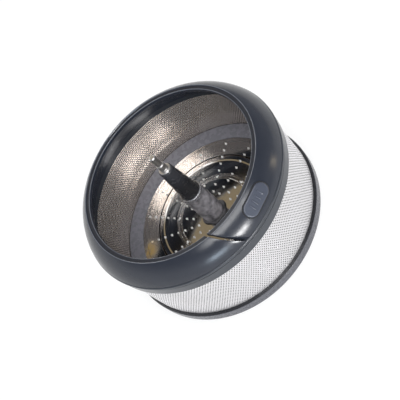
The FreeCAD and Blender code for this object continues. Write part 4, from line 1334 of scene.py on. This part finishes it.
class BASKET_OT_stage(bpy.types.Operator):
    """Floor, lamps, surroundings and camera"""
    bl_idname = "basket.stage"
    bl_label = "Stage"

    def execute(self, context):
        scene = context.scene
        scene.view_settings.view_transform = "Standard"
        self.add_floor(scene.basket_stage)
        self.add_surroundings(scene)
        self.add_lamps(scene)
        self.add_camera(scene, scene.basket_stage)
        return {"FINISHED"}

    def add_floor(self, stage):
        """Paper that glows for the camera, and fully so far out, which hides the horizon."""
        corners = [(x * FLOOR_HALF, y * FLOOR_HALF, FLOOR_LEVEL)
                   for x, y in ((-1, -1), (1, -1), (1, 1), (-1, 1))]
        mesh = bpy.data.meshes.new("floor")
        mesh.from_pydata(corners, [], [(0, 1, 2, 3)])
        material = bpy.data.materials.new("floor_paper")
        material.use_nodes = True
        tree = material.node_tree
        tree.nodes.clear()
        paper = add_node(tree, "ShaderNodeBsdfDiffuse", {"Color": (*stage.floor, 1.0)})
        glow = add_node(tree, "ShaderNodeEmission", {"Color": (1.0, 1.0, 1.0, 1.0), "Strength": 1.0})
        place = tree.nodes.new("ShaderNodeTexCoord").outputs["Object"]
        glowing = spread(off_axis(tree, place), 0.72, 1.0, start=0.3, end=1.0)
        share = self.seen_rays(tree) * glowing
        lit = add_node(tree, "ShaderNodeMixShader", {0: share, 1: paper, 2: glow})
        add_node(tree, "ShaderNodeOutputMaterial", {"Surface": lit})
        floor = new_piece(mesh)
        mesh.materials.append(material)

    def seen_rays(self, tree):
        """1 for what the camera sees straight, in a mirror or through glass."""
        path = tree.nodes.new("ShaderNodeLightPath")
        kinds = ("Is Camera Ray", "Is Glossy Ray", "Is Transmission Ray")
        straight, mirrored, through = (Field(tree, path.outputs[kind]) for kind in kinds)
        return calc("MAXIMUM", straight, calc("MAXIMUM", mirrored, through))

    def add_surroundings(self, scene):
        """White for the camera, a dim warm-and-grey room for mirrors, and soft light for the rest."""
        world = bpy.data.worlds.new("studio")
        scene.world = world
        world.use_nodes = True
        tree = world.node_tree
        tree.nodes.clear()
        direction = tree.nodes.new("ShaderNodeTexCoord").outputs["Generated"]
        path = tree.nodes.new("ShaderNodeLightPath")
        x, _, z = split(tree, direction)
        walls = blend(spread(x, 0.0, 1.0, -0.3, 0.5), (0.95, 0.97, 1.0), (0.42, 0.44, 0.48))
        room = blend(spread(z, 0.0, 1.0, 0.2, 0.6), walls, (0.16, 0.17, 0.20))
        towards = measure(tree, "DOT_PRODUCT", direction, (0.0, 0.64, 0.77))
        warm = blend(spread(towards, 0.0, 1.0, 0.86, 0.94), room, (0.31, 0.25, 0.16))
        seen = blend(Field(tree, path.outputs["Is Camera Ray"]), warm, (1.0, 1.0, 1.0))
        shown = add_node(tree, "ShaderNodeBackground", {"Color": seen, "Strength": 1.0})
        light = add_node(tree, "ShaderNodeBackground", {
            "Color": (0.96, 0.98, 1.0, 1.0), "Strength": 0.5})
        lit = add_node(tree, "ShaderNodeMixShader", {0: self.seen_rays(tree), 1: light, 2: shown})
        add_node(tree, "ShaderNodeOutputWorld", {"Surface": lit})

    def add_lamps(self, scene):
        """Lamps by azimuth, height above level and distance from the basket."""
        for name, turn, rise, away, size, power, tint in (
                ("front_window", -88.0, 13.0, 1.3, (0.38, 0.24), 8.5, (1.0, 1.0, 1.0)),
                ("blue_window", -114.0, 11.0, 1.3, (0.45, 0.20), 2.6, (0.72, 0.86, 1.0)),
                ("upper_window", -88.0, 51.0, 1.2, (1.1, 0.28), 7.5, (1.0, 1.0, 1.0)),
                ("ceiling", -90.0, 88.0, 1.4, (1.3, 1.3), 8.0, (1.0, 1.0, 1.0)),
                ("side_window", -24.0, 3.0, 1.4, (0.12, 0.35), 0.8, (1.0, 0.85, 0.60)),
                ("back_window", 90.0, 14.0, 1.3, (0.90, 0.22), 6.0, (1.0, 1.0, 1.0))):
            turn, rise = math.radians(turn), math.radians(rise)
            heading = around_axis(math.cos(rise), turn, math.sin(rise))
            lamp = bpy.data.lights.new(name, "AREA")
            lamp.shape = "RECTANGLE"
            lamp.size, lamp.size_y = size
            lamp.energy = power
            lamp.color = tint
            holder = bpy.data.objects.new(name, lamp)
            holder.location = LAMP_TARGET + heading * away
            holder.rotation_euler = (-heading).to_track_quat("-Z", "Y").to_euler()
            scene.collection.objects.link(holder)

    def add_camera(self, scene, stage):
        lens = bpy.data.cameras.new("camera")
        lens.lens = stage.lens
        lens.sensor_width = 36.0
        camera = bpy.data.objects.new("camera", lens)
        tilt = Matrix.Rotation(QUARTER_TURN - stage.look_down, 4, "X")
        camera.matrix_world = Matrix.Translation(stage.eye) @ tilt @ Matrix.Rotation(-stage.roll, 4, "Z")
        scene.collection.objects.link(camera)
        scene.camera = camera


class BASKET_PT_panel(bpy.types.Panel):
    """Sizes, finishes and pieces of the basket"""
    bl_idname = "BASKET_PT_panel"
    bl_label = "Juicer filter basket"
    bl_space_type = "VIEW_3D"
    bl_region_type = "UI"
    bl_category = "Basket"

    def draw(self, context):
        for name, group in SETTINGS.items():
            box = self.layout.box()
            for setting in group.__annotations__:
                box.prop(getattr(context.scene, name), setting)
        for operator in OPERATORS:
            self.layout.operator(operator.bl_idname)


SETTINGS = {
    "basket_ring": BasketRing,
    "basket_drum": BasketDrum,
    "basket_disc": BasketDisc,
    "basket_spindle": BasketSpindle,
    "basket_stage": BasketStage,
}
OPERATORS = (
    BASKET_OT_stage,
    BASKET_OT_base,
    BASKET_OT_drum,
    BASKET_OT_disc,
    BASKET_OT_spindle,
    BASKET_OT_ring,
)


def register():
    for name, group in SETTINGS.items():
        bpy.utils.register_class(group)
        setattr(bpy.types.Scene, name, bpy.props.PointerProperty(type=group))
    for item in (*OPERATORS, BASKET_PT_panel):
        bpy.utils.register_class(item)


def unregister():
    for item in (BASKET_PT_panel, *reversed(OPERATORS)):
        bpy.utils.unregister_class(item)
    for name, group in reversed(SETTINGS.items()):
        delattr(bpy.types.Scene, name)
        bpy.utils.unregister_class(group)


def main():
    register()
    for operator in OPERATORS:
        section, action = operator.bl_idname.split(".")
        getattr(getattr(bpy.ops, section), action)()


if __name__ == "__main__":
    main()
